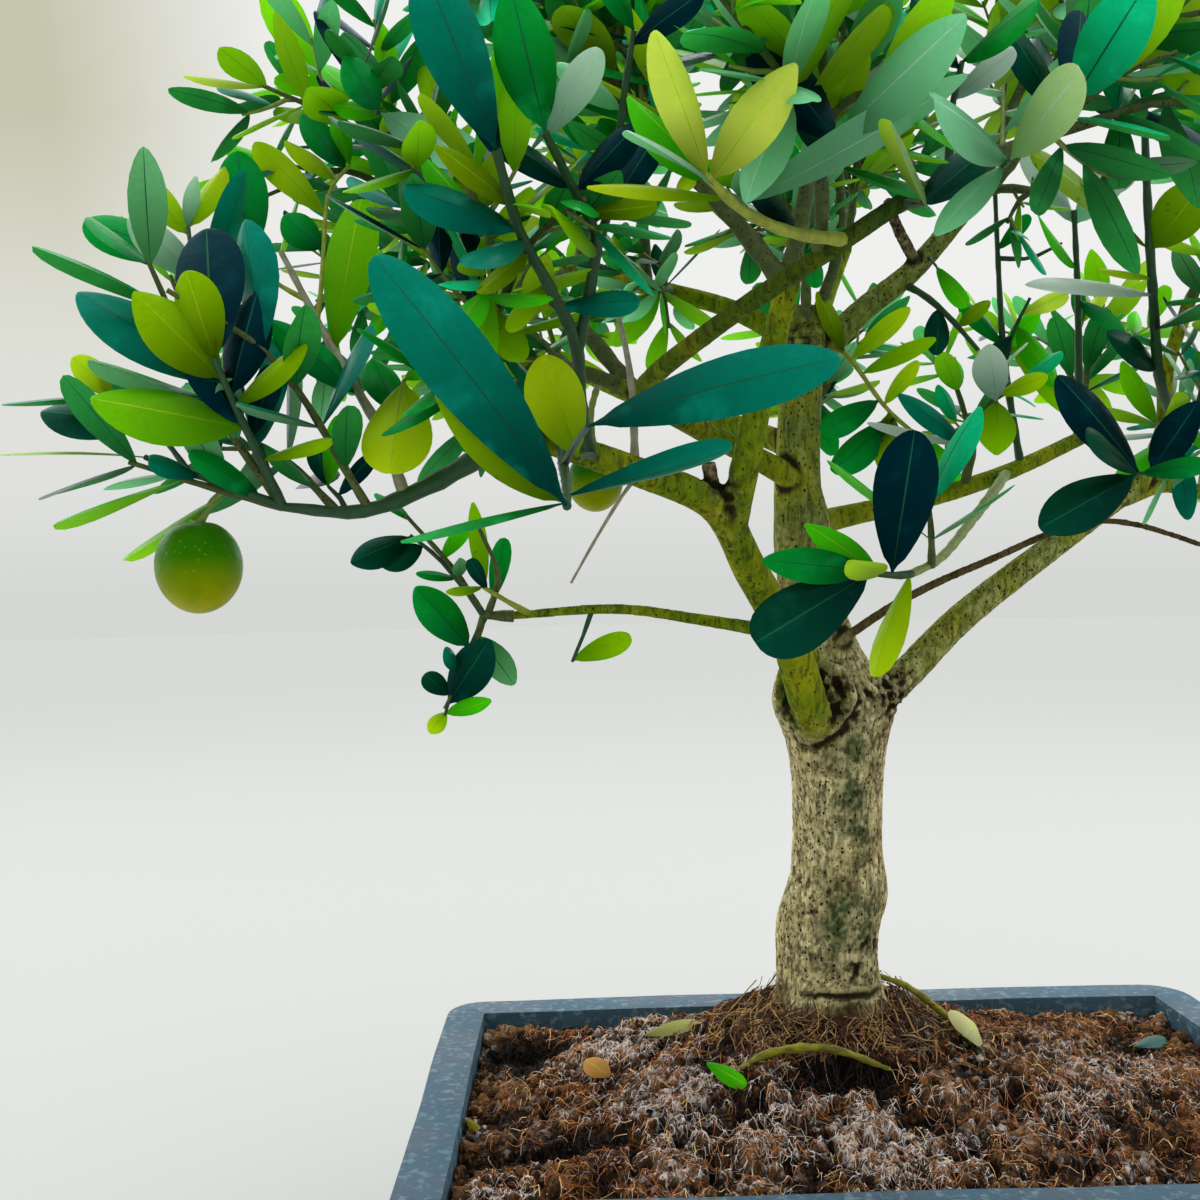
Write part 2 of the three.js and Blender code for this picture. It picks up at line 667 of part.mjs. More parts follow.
const limbs = [];
for (let i = 0; i + 1 < TRUNK_PROFILE.length; i += 1) {
  const [low, high] = [TRUNK_PROFILE[i], TRUNK_PROFILE[i + 1]];
  limbs.push({
    name: 'trunk',
    a: new THREE.Vector3(low.x, TRUNK.y, low.z),
    b: new THREE.Vector3(high.x, TRUNK.y, high.z),
    r: Math.max(low.r, high.r) + TRUNK.keepOff,
  });
}
for (const limb of [...BOUGHS, ...STUBS]) {
  const length = limbLength(limb.points);
  const pieces = Math.ceil(length / LIMB.keepStep);
  limbs.push(...limbSegments(limb.name, limb.points, taper(limb, length), pieces));
}
for (const mass of MASSES) {
  const length = limbLength(mass.stem);
  const pieces = Math.ceil(length / LIMB.keepStep);
  limbs.push(...limbSegments(mass.name, mass.stem, () => SHOOT.r * SHOOT.stem, pieces));
}

function clearOfLimbs(p, owner, gap) {
  return limbs.every((segment) => segment.name === owner || distanceToSegment(p, segment) > segment.r + gap);
}

// A mass's space: its ellipsoid, up to the planes it shares with its neighbours.
function inSpace(p, mass, gap = 0) {
  const middle = vector(mass.at);
  const scaled = p.clone().sub(middle).divide(vector(mass.size));
  if (scaled.length() > 1) return false;
  const own = (mass.size[0] + mass.size[1] + mass.size[2]) / 3;
  return MASSES.every((other) => {
    if (other === mass) return true;
    const toOther = vector(other.at).sub(middle);
    const apart = toOther.length();
    const theirs = (other.size[0] + other.size[1] + other.size[2]) / 3;
    const border = (apart ** 2 + own ** 2 - theirs ** 2) / (2 * apart);
    return p.clone().sub(middle).dot(toOther) / apart < border - CELL_GAP - gap;
  });
}

// One leaf: where it springs from, the way it points, the way its upper face looks, its length.
function leafAt(middle, along, around, spread, lift, length) {
  const root = middle.clone().addScaledVector(around, LEAF.offset);
  const turn = THREE.MathUtils.degToRad(spread);
  const way = along.clone().multiplyScalar(Math.cos(turn)).addScaledVector(around, Math.sin(turn));
  way.z += lift;
  way.normalize();
  const face = along.clone().multiplyScalar(LEAF.faceAlong);
  face.z += LEAF.faceUp;
  face.addScaledVector(way, -face.dot(way));
  if (face.lengthSq() < 0.01) face.copy(around).addScaledVector(way, -around.dot(way));
  return { root, way, face: face.normalize(), length };
}

function leafPoints(leaf) {
  const across = leaf.way.clone().cross(leaf.face);
  const at = (share, side, rise) => leaf.root.clone()
    .addScaledVector(leaf.way, share * leaf.length)
    .addScaledVector(across, side * leaf.length)
    .addScaledVector(leaf.face, rise * leaf.length);
  return {
    base: at(0, 0, 0),
    tip: at(1, 0, 0),
    right: at(LEAF.widest, LEAF.width / 2, 0),
    left: at(LEAF.widest, -LEAF.width / 2, 0),
    top: at(LEAF.widest, 0, LEAF.thick / 2),
    under: at(LEAF.widest, 0, -LEAF.thick / 2),
  };
}

// Half the leaf's width at a share of its length.
function halfWidth(leaf, share) {
  const rise = share < LEAF.widest ? share / LEAF.widest : (1 - share) / (1 - LEAF.widest);
  return (LEAF.width / 2) * leaf.length * rise;
}

// Points spread over a leaf beyond its root.
function leafSpread(leaf) {
  const across = leaf.way.clone().cross(leaf.face);
  return LEAF_CLEAR.shares.flatMap((share) => [-1, 0, 1].map((side) => leaf.root.clone()
    .addScaledVector(leaf.way, share * leaf.length)
    .addScaledVector(across, side * halfWidth(leaf, share))));
}

// Whether a point lies in a leaf or within a gap of it, past the leaf's root.
function leafHolds(leaf, p, gap) {
  const from = p.clone().sub(leaf.root);
  const share = from.dot(leaf.way) / leaf.length;
  if (share < LEAF_CLEAR.free || share > 1) return false;
  const across = leaf.way.clone().cross(leaf.face);
  return Math.abs(from.dot(across)) < halfWidth(leaf, share) + gap && Math.abs(from.dot(leaf.face)) < gap;
}

function leafClear(leaf, mass, others, twigPoints) {
  const corners = leafPoints(leaf);
  if (![corners.tip, corners.right, corners.left, corners.top].every((p) => inSpace(p, mass))) return false;
  const spread = leafSpread(leaf);
  if (!spread.every((p) => clearOfLimbs(p, mass.name, SHOOT.limbGap))) return false;
  if (twigPoints.some((p) => leafHolds(leaf, p, SHOOT.r + LEAF_CLEAR.twig))) return false;
  return others.every(({ leaf: other, points }) => (
    !points.some((p) => leafHolds(leaf, p, LEAF_CLEAR.leaf))
    && !spread.some((p) => leafHolds(other, p, LEAF_CLEAR.leaf))));
}

function leafBody(leaf) {
  const p = leafPoints(leaf);
  const corners = [p.base, p.tip, p.right, p.left, p.top, p.under];
  const [base, tip, right, left, top, under] = [0, 1, 2, 3, 4, 5];
  const triangles = [
    base, right, top, right, tip, top, tip, left, top, left, base, top,
    right, base, under, tip, right, under, left, tip, under, base, left, under,
  ];
  return new wasm.Manifold(new wasm.Mesh({
    numProp: 3,
    vertProperties: new Float32Array(corners.flatMap((c) => [c.x, c.y, c.z])),
    triVerts: new Uint32Array(triangles),
  }));
}

// Opposite pairs of leaves, each pair turned a right angle from the last, and a pair at the tip.
function leavesOn(points, pairs, length, roll, random) {
  const curve = new THREE.CatmullRomCurve3(points.map(vector), false, 'centripetal');
  const whole = curve.getLength();
  const leaves = [];
  for (let i = 0; i < pairs; i += 1) {
    const back = SHOOT.tipGap + i * SHOOT.pitch;
    const share = Math.max(SHOOT.firstShare, 1 - back / whole);
    const root = curve.getPointAt(share);
    const along = curve.getTangentAt(share);
    const level = new THREE.Vector3(0, 0, 1).cross(along);
    if (level.lengthSq() < 0.01) level.set(1, 0, 0);
    level.normalize();
    const turn = THREE.MathUtils.degToRad(roll + 90 * i + SHOOT.turnVaries * (random() - 0.5));
    const around = level.clone().applyAxisAngle(along, turn);
    for (const side of [1, -1]) {
      const spread = (i === 0 ? SHOOT.tipSpread : SHOOT.spread) + SHOOT.spreadVaries * (random() - 0.5);
      const lift = SHOOT.lift * (random() - SHOOT.liftFrom);
      const size = length * (SHOOT.smallest + SHOOT.sizeVaries * random()) * (i === 0 ? SHOOT.tipLeaf : 1);
      leaves.push(leafAt(root, along, around.clone().multiplyScalar(side), spread, lift, size));
    }
  }
  return leaves;
}

// Shoots fan out from the stem to points spread evenly over the outer side of the mass's space.
function shootsOf(mass, random) {
  const stem = new THREE.CatmullRomCurve3(mass.stem.map(vector), false, 'centripetal');
  const outward = vector(mass.at).sub(vector(CROWN_MIDDLE)).normalize();
  const golden = Math.PI * (3 - Math.sqrt(5));
  const shoots = [];
  for (let i = 0; i < mass.shoots; i += 1) {
    const level = 1 - (2 * (i + 0.5)) / mass.shoots;
    const flat = Math.sqrt(1 - level ** 2);
    const turn = i * golden + mass.seed + FAN.turnVaries * random();
    const way = new THREE.Vector3(flat * Math.cos(turn), flat * Math.sin(turn), level);
    way.addScaledVector(outward, FAN.outward);
    way.z += FAN.up;
    way.normalize();
    const from = stem.getPointAt(FAN.from + (FAN.along * (i + random())) / mass.shoots);
    const bend = FAN.bend + FAN.bend * random();
    const roll = 180 * random();
    const outmost = FAN.reach + FAN.varies * random();
    let tip = null;
    for (let reach = outmost; reach > FAN.least && tip === null; reach -= FAN.step) {
      const p = vector(mass.at).addScaledVector(way.clone().multiply(vector(mass.size)), reach);
      if (inSpace(p.clone().addScaledVector(way, SHOOT.leafRoom * mass.leaf), mass)) tip = p;
    }
    if (tip === null) continue;
    const middle = from.clone().lerp(tip, 0.5);
    middle.z += bend * from.distanceTo(tip);
    shoots.push({
      points: [from, middle, tip].map((p) => p.toArray()), pairs: mass.pairs, leaf: mass.leaf, roll,
    });
  }
  return shoots;
}

function shootClear(points, mass) {
  const curve = new THREE.CatmullRomCurve3(points.map(vector), false, 'centripetal');
  const checks = Math.ceil(curve.getLength() / SHOOT.checkStep);
  for (let i = 0; i <= checks; i += 1) {
    const p = curve.getPointAt(i / checks);
    if (!clearOfLimbs(p, mass.name, SHOOT.r + SHOOT.checkGap)) return false;
    if (i / checks > 0.5 && !inSpace(p, mass, SHOOT.r)) return false;
  }
  return true;
}

function twigBody(points, r, tip) {
  const length = limbLength(points);
  const steps = Math.max(1, Math.round(length / SHOOT.ringStep));
  return skin(limbRings(points, (share) => THREE.MathUtils.lerp(r, tip, share), 3, steps));
}

function makeMass(mass) {
  const random = seeded(mass.seed);
  let body = twigBody(mass.stem, SHOOT.r * SHOOT.stem, SHOOT.r);
  const shoots = [...(mass.leads ?? []), ...shootsOf(mass, random)]
    .filter((shoot) => shootClear(shoot.points, mass));
  const twigPoints = [mass.stem, ...shoots.map((shoot) => shoot.points)].flatMap((points) => (
    new THREE.CatmullRomCurve3(points.map(vector), false, 'centripetal').getSpacedPoints(SHOOT.marks)));
  const kept = [];
  for (const shoot of shoots) {
    body = body.add(twigBody(shoot.points, SHOOT.r, SHOOT.tip));
    for (const leaf of leavesOn(shoot.points, shoot.pairs, shoot.leaf, shoot.roll, random)) {
      const fitted = LEAF_SIZES.map((size) => ({ ...leaf, length: leaf.length * size }))
        .find((smaller) => leafClear(smaller, mass, kept, twigPoints));
      if (!fitted) continue;
      body = body.add(leafBody(fitted));
      kept.push({ leaf: fitted, points: leafSpread(fitted) });
    }
  }
  for (const fruit of mass.fruit ?? []) {
    const ball = new THREE.SphereGeometry(fruit.r, FRUIT.sides, FRUIT.rings);
    ball.rotateX(Math.PI / 2);
    ball.scale(1, 1, fruit.tall);
    ball.translate(...fruit.at);
    const from = new THREE.CatmullRomCurve3(mass.stem.map(vector), false, 'centripetal').getPointAt(fruit.on);
    const top = [fruit.at[0], fruit.at[1], fruit.at[2] + fruit.r * fruit.tall - FRUIT.sunk];
    body = body.add(twigBody([from.toArray(), fruit.over, top], SHOOT.tip, SHOOT.tip)).add(fromGeometry(ball));
  }
  return toMesh(mass.name, mainBody(clearedOf(body)), material(COLOURS.leaf, ROUGHNESS.leaf));
}

const tree = new THREE.Group();
tree.name = 'olive_bonsai';
tree.add(makePot());
tree.add(toMesh('soil', soilBody(), material(COLOURS.soil, ROUGHNESS.soil)));

tree.add(toMesh('trunk', trunkBody(), material(COLOURS.bark, ROUGHNESS.bark)));

// Limbs swollen by the clearance. What springs from them or passes them is cut back to it.
const swollen = [trunkBody(CLEARANCE)];

function clearedOf(body) {
  return swollen.reduce((rest, limb) => (rest.intersect(limb).isEmpty() ? rest : rest.subtract(limb)), body);
}

for (const limb of [...BOUGHS, ...STUBS]) {
  const body = mainBody(clearedOf(limbBody(limb)));
  const bark = limb.name === 'thin_shoot_right' ? COLOURS.brownBark : COLOURS.greenBark;
  tree.add(toMesh(limb.name, body, material(bark, ROUGHNESS.bough)));
  swollen.push(limbBody(limb, CLEARANCE));
}

const raisedSoil = soilBody(CLEARANCE);
for (const root of SURFACE_ROOTS) {
  const whole = limbBody({ points: root.points, r: [root.r, root.r * LIMB.rootTip] });
  const body = mainBody(clearedOf(whole.subtract(raisedSoil)));
  tree.add(toMesh(root.name, body, material(COLOURS.root, ROUGHNESS.root)));
}

for (const mass of MASSES) {
  tree.add(makeMass(mass));
  swollen.push(twigBody(mass.stem, SHOOT.r * SHOOT.stem + CLEARANCE * 2, SHOOT.r + CLEARANCE * 2));
}

export default tree;
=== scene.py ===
"""Olive bonsai in a low blue glazed pot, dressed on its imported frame. Metres, Z up."""

import json
import math

import bmesh
import bpy
import numpy as np
from mathutils import Matrix, Vector, noise

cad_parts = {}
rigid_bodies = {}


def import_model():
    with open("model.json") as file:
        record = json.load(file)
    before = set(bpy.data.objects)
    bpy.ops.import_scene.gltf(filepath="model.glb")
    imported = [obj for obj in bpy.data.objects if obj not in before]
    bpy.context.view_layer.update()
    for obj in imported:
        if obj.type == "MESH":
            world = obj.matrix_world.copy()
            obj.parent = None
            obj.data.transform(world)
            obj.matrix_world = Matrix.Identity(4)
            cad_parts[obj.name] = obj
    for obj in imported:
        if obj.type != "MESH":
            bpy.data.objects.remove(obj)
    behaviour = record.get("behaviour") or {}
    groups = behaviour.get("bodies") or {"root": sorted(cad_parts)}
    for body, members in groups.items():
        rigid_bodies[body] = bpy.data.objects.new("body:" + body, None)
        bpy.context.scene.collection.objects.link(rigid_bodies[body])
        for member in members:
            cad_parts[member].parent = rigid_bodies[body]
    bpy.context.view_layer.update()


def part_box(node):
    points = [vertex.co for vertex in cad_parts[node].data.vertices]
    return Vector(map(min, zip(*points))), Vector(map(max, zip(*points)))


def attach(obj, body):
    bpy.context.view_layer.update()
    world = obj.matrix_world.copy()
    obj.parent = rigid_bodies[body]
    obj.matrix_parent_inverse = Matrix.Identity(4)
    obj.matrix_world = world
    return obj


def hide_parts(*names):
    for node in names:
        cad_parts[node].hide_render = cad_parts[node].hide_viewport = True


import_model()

# Stage: a pale floor that runs into a pale room, as in a white box that is open to the front.
# Its back and sides give the light, so the front lies in gentle shade and the rims are bright.
# The camera stands low before the pot's left half and looks almost level, as for the photograph.
CAMERA_PLACE = (-0.0838, -0.3780, 0.2253)
CAMERA_YAW = math.radians(0.866)
CAMERA_PITCH = math.radians(-0.618)
CAMERA_ROLL = math.radians(-1.168)
CAMERA_LENS = 37.2
SENSOR_WIDTH = 36
FLOOR_RADIUS = 7.0
FLOOR_COLOUR = (0.475, 0.478, 0.466, 1)
ROOM_LOW = (0.665, 0.680, 0.660, 1)
ROOM_HIGH = (0.870, 0.875, 0.860, 1)
ROOM_CREAM = (0.560, 0.555, 0.420, 1)
ROOM_CLIMB = (0, 0.22)
CREAM_LEFT = (-0.20, -0.36)
CREAM_RISE = (0.08, 0.34)
ROOM_LIGHT = (0.98, 1.0, 0.99, 1)
LIGHT_FRONT = 0.33
LIGHT_BACK = 1.78
LIGHT_TOP = 0.62
LAMPS = [((-1.2, 0.5, 1.1), 0.7, 3.0), ((1.2, 0.4, 1.0), 0.6, 3.0), ((0.1, 0.5, 1.5), 0.5, 2.5)]
LAMP_AIM = Vector((0, 0, 0.25))

bpy.ops.object.select_all(action="DESELECT")
camera_turn = (
    Matrix.Rotation(-CAMERA_YAW, 3, "Z")
    @ Matrix.Rotation(math.pi / 2 + CAMERA_PITCH, 3, "X")
    @ Matrix.Rotation(CAMERA_ROLL, 3, "Z")
)
bpy.ops.object.camera_add(location=CAMERA_PLACE, rotation=camera_turn.to_euler())
camera = bpy.context.object
camera.data.lens = CAMERA_LENS
camera.data.sensor_width = SENSOR_WIDTH
camera.data.clip_start = 0.01
bpy.context.scene.camera = camera
bpy.context.scene.view_settings.view_transform = "Standard"

for place, size, power in LAMPS:
    turn = (LAMP_AIM - Vector(place)).to_track_quat("-Z", "Y").to_euler()
    bpy.ops.object.light_add(type="AREA", location=place, rotation=turn)
    lamp = bpy.context.object
    lamp.data.energy = power
    lamp.data.size = size
    lamp.visible_camera = False


def feed(tree, socket, value):
    """Gives a socket its value, or links the output that feeds it."""
    if isinstance(value, bpy.types.NodeSocket):
        tree.links.new(value, socket)
    else:
        socket.default_value = value


def add_node(tree, kind, values=None, **settings):
    """Adds a shader node with its settings, and a value or a feeding output for each input."""
    node = tree.nodes.new("ShaderNode" + kind)
    for name, setting in settings.items():
        setattr(node, name, setting)
    for place, value in (values or {}).items():
        feed(tree, node.inputs[place], value)
    return node


room = bpy.data.worlds.new("pale room")
bpy.context.scene.world = room
room.use_nodes = True
walls = room.node_tree
all_round = add_node(walls, "TexCoord").outputs["Generated"]
room_sides = add_node(walls, "SeparateXYZ", {0: all_round}).outputs


def across_room(side, low, high, least=0, most=1):
    """Goes from least to most as the way into the room turns from low to high on one side."""
    ends = {"From Min": low, "From Max": high, "To Min": least, "To Max": most}
    return add_node(walls, "MapRange", {"Value": room_sides[side], **ends}).outputs[0]


to_back = across_room("Y", -1, 1, LIGHT_FRONT, LIGHT_BACK)
strength = add_node(
    walls, "Math", {0: room_sides["Z"], 1: LIGHT_TOP, 2: to_back}, operation="MULTIPLY_ADD"
)
room_light = walls.nodes["Background"]
feed(walls, room_light.inputs["Color"], ROOM_LIGHT)
feed(walls, room_light.inputs["Strength"], strength.outputs[0])
climb = across_room("Z", *ROOM_CLIMB)
pale = add_node(walls, "Mix", {0: climb, 6: ROOM_LOW, 7: ROOM_HIGH}, data_type="RGBA")
corner = {0: across_room("X", *CREAM_LEFT), 1: across_room("Z", *CREAM_RISE)}
corner = add_node(walls, "Math", corner, operation="MULTIPLY").outputs[0]
wall_paint = add_node(walls, "Mix", {0: corner, 6: pale.outputs[2], 7: ROOM_CREAM}, data_type="RGBA")
room_seen = add_node(walls, "Background", {"Color": wall_paint.outputs[2]})
camera_sees = add_node(walls, "LightPath").outputs["Is Camera Ray"]
room_mix = add_node(
    walls, "MixShader", {0: camera_sees, 1: room_light.outputs[0], 2: room_seen.outputs[0]}
)
feed(walls, walls.nodes["World Output"].inputs["Surface"], room_mix.outputs[0])

bpy.ops.mesh.primitive_circle_add(vertices=96, radius=FLOOR_RADIUS, fill_type="NGON")
floor = bpy.context.object
floor.name = "floor"
floor_paint = bpy.data.materials.new("pale floor")
floor_paint.use_nodes = True
floor_shader = floor_paint.node_tree.nodes["Principled BSDF"]
floor_shader.inputs["Base Color"].default_value = FLOOR_COLOUR
floor_shader.inputs["Roughness"].default_value = 1.0
floor_shader.inputs["Specular IOR Level"].default_value = 0.0
floor.data.materials.append(floor_paint)


# Pot: a low rectangular stoneware pot with a broad rolled rim, walls that draw in to a plinth
# with relieved middles, and two drain holes. Slab built by hand, so its sides are never quite
# true. The blue glaze is mottled and worn to grey along the edges.
POT_LOW, POT_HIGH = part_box("pot")
POT_WIDTH, POT_DEPTH, POT_HEIGHT = POT_HIGH - POT_LOW
RIM_WIDTH = 0.013
RIM_HEIGHT = 0.013
RIM_LIP = 0.005
RIM_SLOPE = 0.001
WALL_TAPER = 0.009
POT_FOOT = 0.008
POT_FLOOR = 0.008
POT_CORNER = 0.012
FOOT_INSET = 0.020
FOOT_NOTCH_LONG = 0.130
FOOT_NOTCH_SHORT = 0.056
FOOT_NOTCH_DEEP = 0.084
FOOT_NOTCH_HIGH = 0.006
DRAIN_RADIUS = 0.007
DRAIN_SPREAD = 0.070
EDGE_ROUND = 0.0019
EDGE_ANGLE = 38
WORN_ANGLE = 24
CUTS_LONG, CUTS_SHORT = 20, 13
WOBBLE_SCALE = 14
HAND_WOBBLE = 0.0007
WOBBLE_SEED = 5


def take(piece):
    """Selects one piece alone and makes it the active one."""
    bpy.ops.object.select_all(action="DESELECT")
    piece.select_set(True)
    bpy.context.view_layer.objects.active = piece


def start_edit(piece):
    """Opens one piece in edit mode with nothing on it selected."""
    take(piece)
    bpy.ops.object.mode_set(mode="EDIT")
    bpy.ops.mesh.select_all(action="DESELECT")


def end_edit():
    bpy.ops.object.mode_set(mode="OBJECT")


def pick_faces(piece, wanted):
    """In edit mode, selects only the faces whose middle and normal suit wanted."""
    bpy.ops.mesh.select_mode(type="FACE")
    bpy.ops.mesh.select_all(action="DESELECT")
    shape = bmesh.from_edit_mesh(piece.data)
    for face in shape.faces:
        if wanted(face.calc_center_median(), face.normal):
            face.select_set(True)
    bmesh.update_edit_mesh(piece.data)


def extrude(rise):
    """In edit mode, draws what is selected straight up, or down where rise is below 0."""
    bpy.ops.mesh.extrude_region_move(TRANSFORM_OT_translate={"value": (0, 0, rise)})


def apply_modifier(piece, kind, **settings):
    """Adds a modifier with these settings and applies it."""
    take(piece)
    modifier = piece.modifiers.new(kind.lower(), kind)
    for name, value in settings.items():
        setattr(modifier, name, value)
    bpy.ops.object.modifier_apply(modifier=modifier.name)


def shade_smooth(piece, angle):
    take(piece)
    bpy.ops.object.shade_smooth_by_angle(angle=math.radians(angle))


body_width = POT_WIDTH - 2 * RIM_LIP
body_depth = POT_DEPTH - 2 * RIM_LIP
body_top = POT_HEIGHT - RIM_HEIGHT
bpy.ops.mesh.primitive_cube_add(size=1, location=(0, 0, (POT_FOOT + body_top) / 2))
pot = bpy.context.object
pot.name = "glazed_pot"
pot.scale = (body_width, body_depth, body_top - POT_FOOT)
bpy.ops.object.transform_apply(location=True, rotation=True, scale=True)

start_edit(pot)
pick_faces(pot, lambda middle, normal: normal.z < -0.9)
draw_in = (1 - 2 * WALL_TAPER / body_width, 1 - 2 * WALL_TAPER / body_depth, 1)
bpy.ops.transform.resize(value=draw_in, center_override=(0, 0, POT_FOOT))
bpy.ops.mesh.select_mode(type="EDGE")
bpy.ops.mesh.select_all(action="DESELECT")
pot_shape = bmesh.from_edit_mesh(pot.data)
for edge in pot_shape.edges:
    one, other = edge.verts
    edge.select_set(abs(one.co.z - other.co.z) > 0.01)
bmesh.update_edit_mesh(pot.data)
bpy.ops.mesh.bevel(offset=POT_CORNER, segments=6, affect="EDGES")
pick_faces(pot, lambda middle, normal: normal.z > 0.9)
extrude(RIM_SLOPE)
spread_out = (POT_WIDTH / body_width, POT_DEPTH / body_depth, 1)
bpy.ops.transform.resize(value=spread_out, center_override=(0, 0, body_top))
extrude(RIM_HEIGHT - RIM_SLOPE)
bpy.ops.mesh.inset(thickness=RIM_WIDTH)
extrude(-RIM_HEIGHT)
extrude(-(body_top - POT_FOOT - POT_FLOOR))
bpy.ops.transform.resize(value=draw_in, center_override=(0, 0, POT_FOOT + POT_FLOOR))
pick_faces(pot, lambda middle, normal: normal.z < -0.9 and middle.z < POT_FOOT + 0.001)
bpy.ops.mesh.inset(thickness=FOOT_INSET - RIM_LIP - WALL_TAPER)
extrude(-POT_FOOT)
end_edit()

notches = [(0, side * POT_DEPTH / 2, FOOT_NOTCH_LONG, FOOT_NOTCH_DEEP) for side in (-1, 1)]
notches += [(side * POT_WIDTH / 2, 0, FOOT_NOTCH_DEEP, FOOT_NOTCH_SHORT) for side in (-1, 1)]
cutters = []
for x, y, long, deep in notches:
    bpy.ops.mesh.primitive_cube_add(size=1, location=(x, y, 0))
    cutters.append(bpy.context.object)
    cutters[-1].scale = (long, deep, 2 * FOOT_NOTCH_HIGH)
for side in (-1, 1):
    bpy.ops.mesh.primitive_cylinder_add(
        vertices=28, radius=DRAIN_RADIUS, depth=0.06, location=(side * DRAIN_SPREAD, 0, 0)
    )
    cutters.append(bpy.context.object)
for cutter in cutters:
    apply_modifier(pot, "BOOLEAN", object=cutter, operation="DIFFERENCE", solver="EXACT")
    bpy.data.objects.remove(cutter)
apply_modifier(
    pot, "BEVEL", width=EDGE_ROUND, segments=3, limit_method="ANGLE",
    angle_limit=math.radians(EDGE_ANGLE),
)


def cut_across(piece, low, high, axis, count):
    """Cuts a piece through at even steps along one axis, so that long faces can bow."""
    start_edit(piece)
    way = Vector((axis == 0, axis == 1, axis == 2))
    for step in range(1, count):
        place = low + (high - low) * step / count
        bpy.ops.mesh.select_all(action="SELECT")
        bpy.ops.mesh.bisect(plane_co=place * way, plane_no=way)
    end_edit()


def mark(piece, name, values):
    """Keeps one value on each point of a piece, for its material."""
    kept = piece.data.attributes.new(name, "FLOAT", "POINT")
    kept.data.foreach_set("value", np.ascontiguousarray(values))


def edge_wear(piece, name, reach):
    """Marks on each point how sharply the surface turns there, from 0 to 1."""
    shape = bmesh.new()
    shape.from_mesh(piece.data)
    sharp = [max((e.calc_face_angle(0) for e in v.link_edges), default=0) for v in shape.verts]
    shape.free()
    mark(piece, name, np.clip(np.array(sharp) / math.radians(reach), 0, 1))


edge_wear(pot, "worn", WORN_ANGLE)
cut_across(pot, POT_LOW.x, POT_HIGH.x, 0, CUTS_LONG)
cut_across(pot, POT_LOW.y, POT_HIGH.y, 1, CUTS_SHORT)
noise.seed_set(WOBBLE_SEED)
for vertex in pot.data.vertices:
    place = vertex.co * WOBBLE_SCALE
    drift = noise.noise_vector(place) + 0.4 * noise.noise_vector(place * 3)
    drift.z *= min(1.0, vertex.co.z / POT_HEIGHT)
    vertex.co += drift * HAND_WOBBLE
shade_smooth(pot, 30)


def mask_group(name, **inputs):
    """A shader node group with these inputs and one mask, and its stretched object coordinates."""
    group = bpy.data.node_groups.new(name, "ShaderNodeTree")
    for label, value in inputs.items():
        kind = "NodeSocketVector" if label == "Stretch" else "NodeSocketFloat"
        socket = group.interface.new_socket(label, in_out="INPUT", socket_type=kind)
        socket.default_value = value
    group.interface.new_socket("Mask", in_out="OUTPUT", socket_type="NodeSocketFloat")
    entry = group.nodes.new("NodeGroupInput").outputs
    leave = group.nodes.new("NodeGroupOutput").inputs["Mask"]
    spot = {0: add_node(group, "TexCoord").outputs["Object"], 1: entry["Stretch"]}
    spot = add_node(group, "VectorMath", spot, operation="MULTIPLY").outputs[0]
    return group, entry, leave, spot


# Mottling: soft patches, 0 to 1, whose size, stretch and share of the surface can be set.
mottling, entry, leave, spot = mask_group(
    "mottling", Scale=100, Stretch=(1, 1, 1), Detail=4, From=0.4, To=0.6
)
patches = {"Vector": spot, "Scale": entry["Scale"], "Detail": entry["Detail"]}
patches = add_node(mottling, "TexNoise", patches).outputs[0]
patches = {"Value": patches, "From Min": entry["From"], "From Max": entry["To"]}
feed(mottling, leave, add_node(mottling, "MapRange", patches).outputs[0])

# Specks: small separate spots, 1 at their middle, on a chosen share of the cells.
specks, entry, leave, spot = mask_group(
    "specks", Scale=400, Stretch=(1, 1, 1), Size=0.3, Share=0.5
)
cells = add_node(specks, "TexVoronoi", {"Vector": spot, "Scale": entry["Scale"]}).outputs
lot = add_node(specks, "SeparateColor", {0: cells["Color"]}).outputs[0]
chosen = add_node(specks, "Math", {0: lot, 1: entry["Share"]}, operation="LESS_THAN")
round_dot = {"Value": cells["Distance"], "From Max": entry["Size"], "To Min": 1, "To Max": 0}
round_dot = {0: add_node(specks, "MapRange", round_dot).outputs[0], 1: chosen.outputs[0]}
feed(specks, leave, add_node(specks, "Math", round_dot, operation="MULTIPLY").outputs[0])


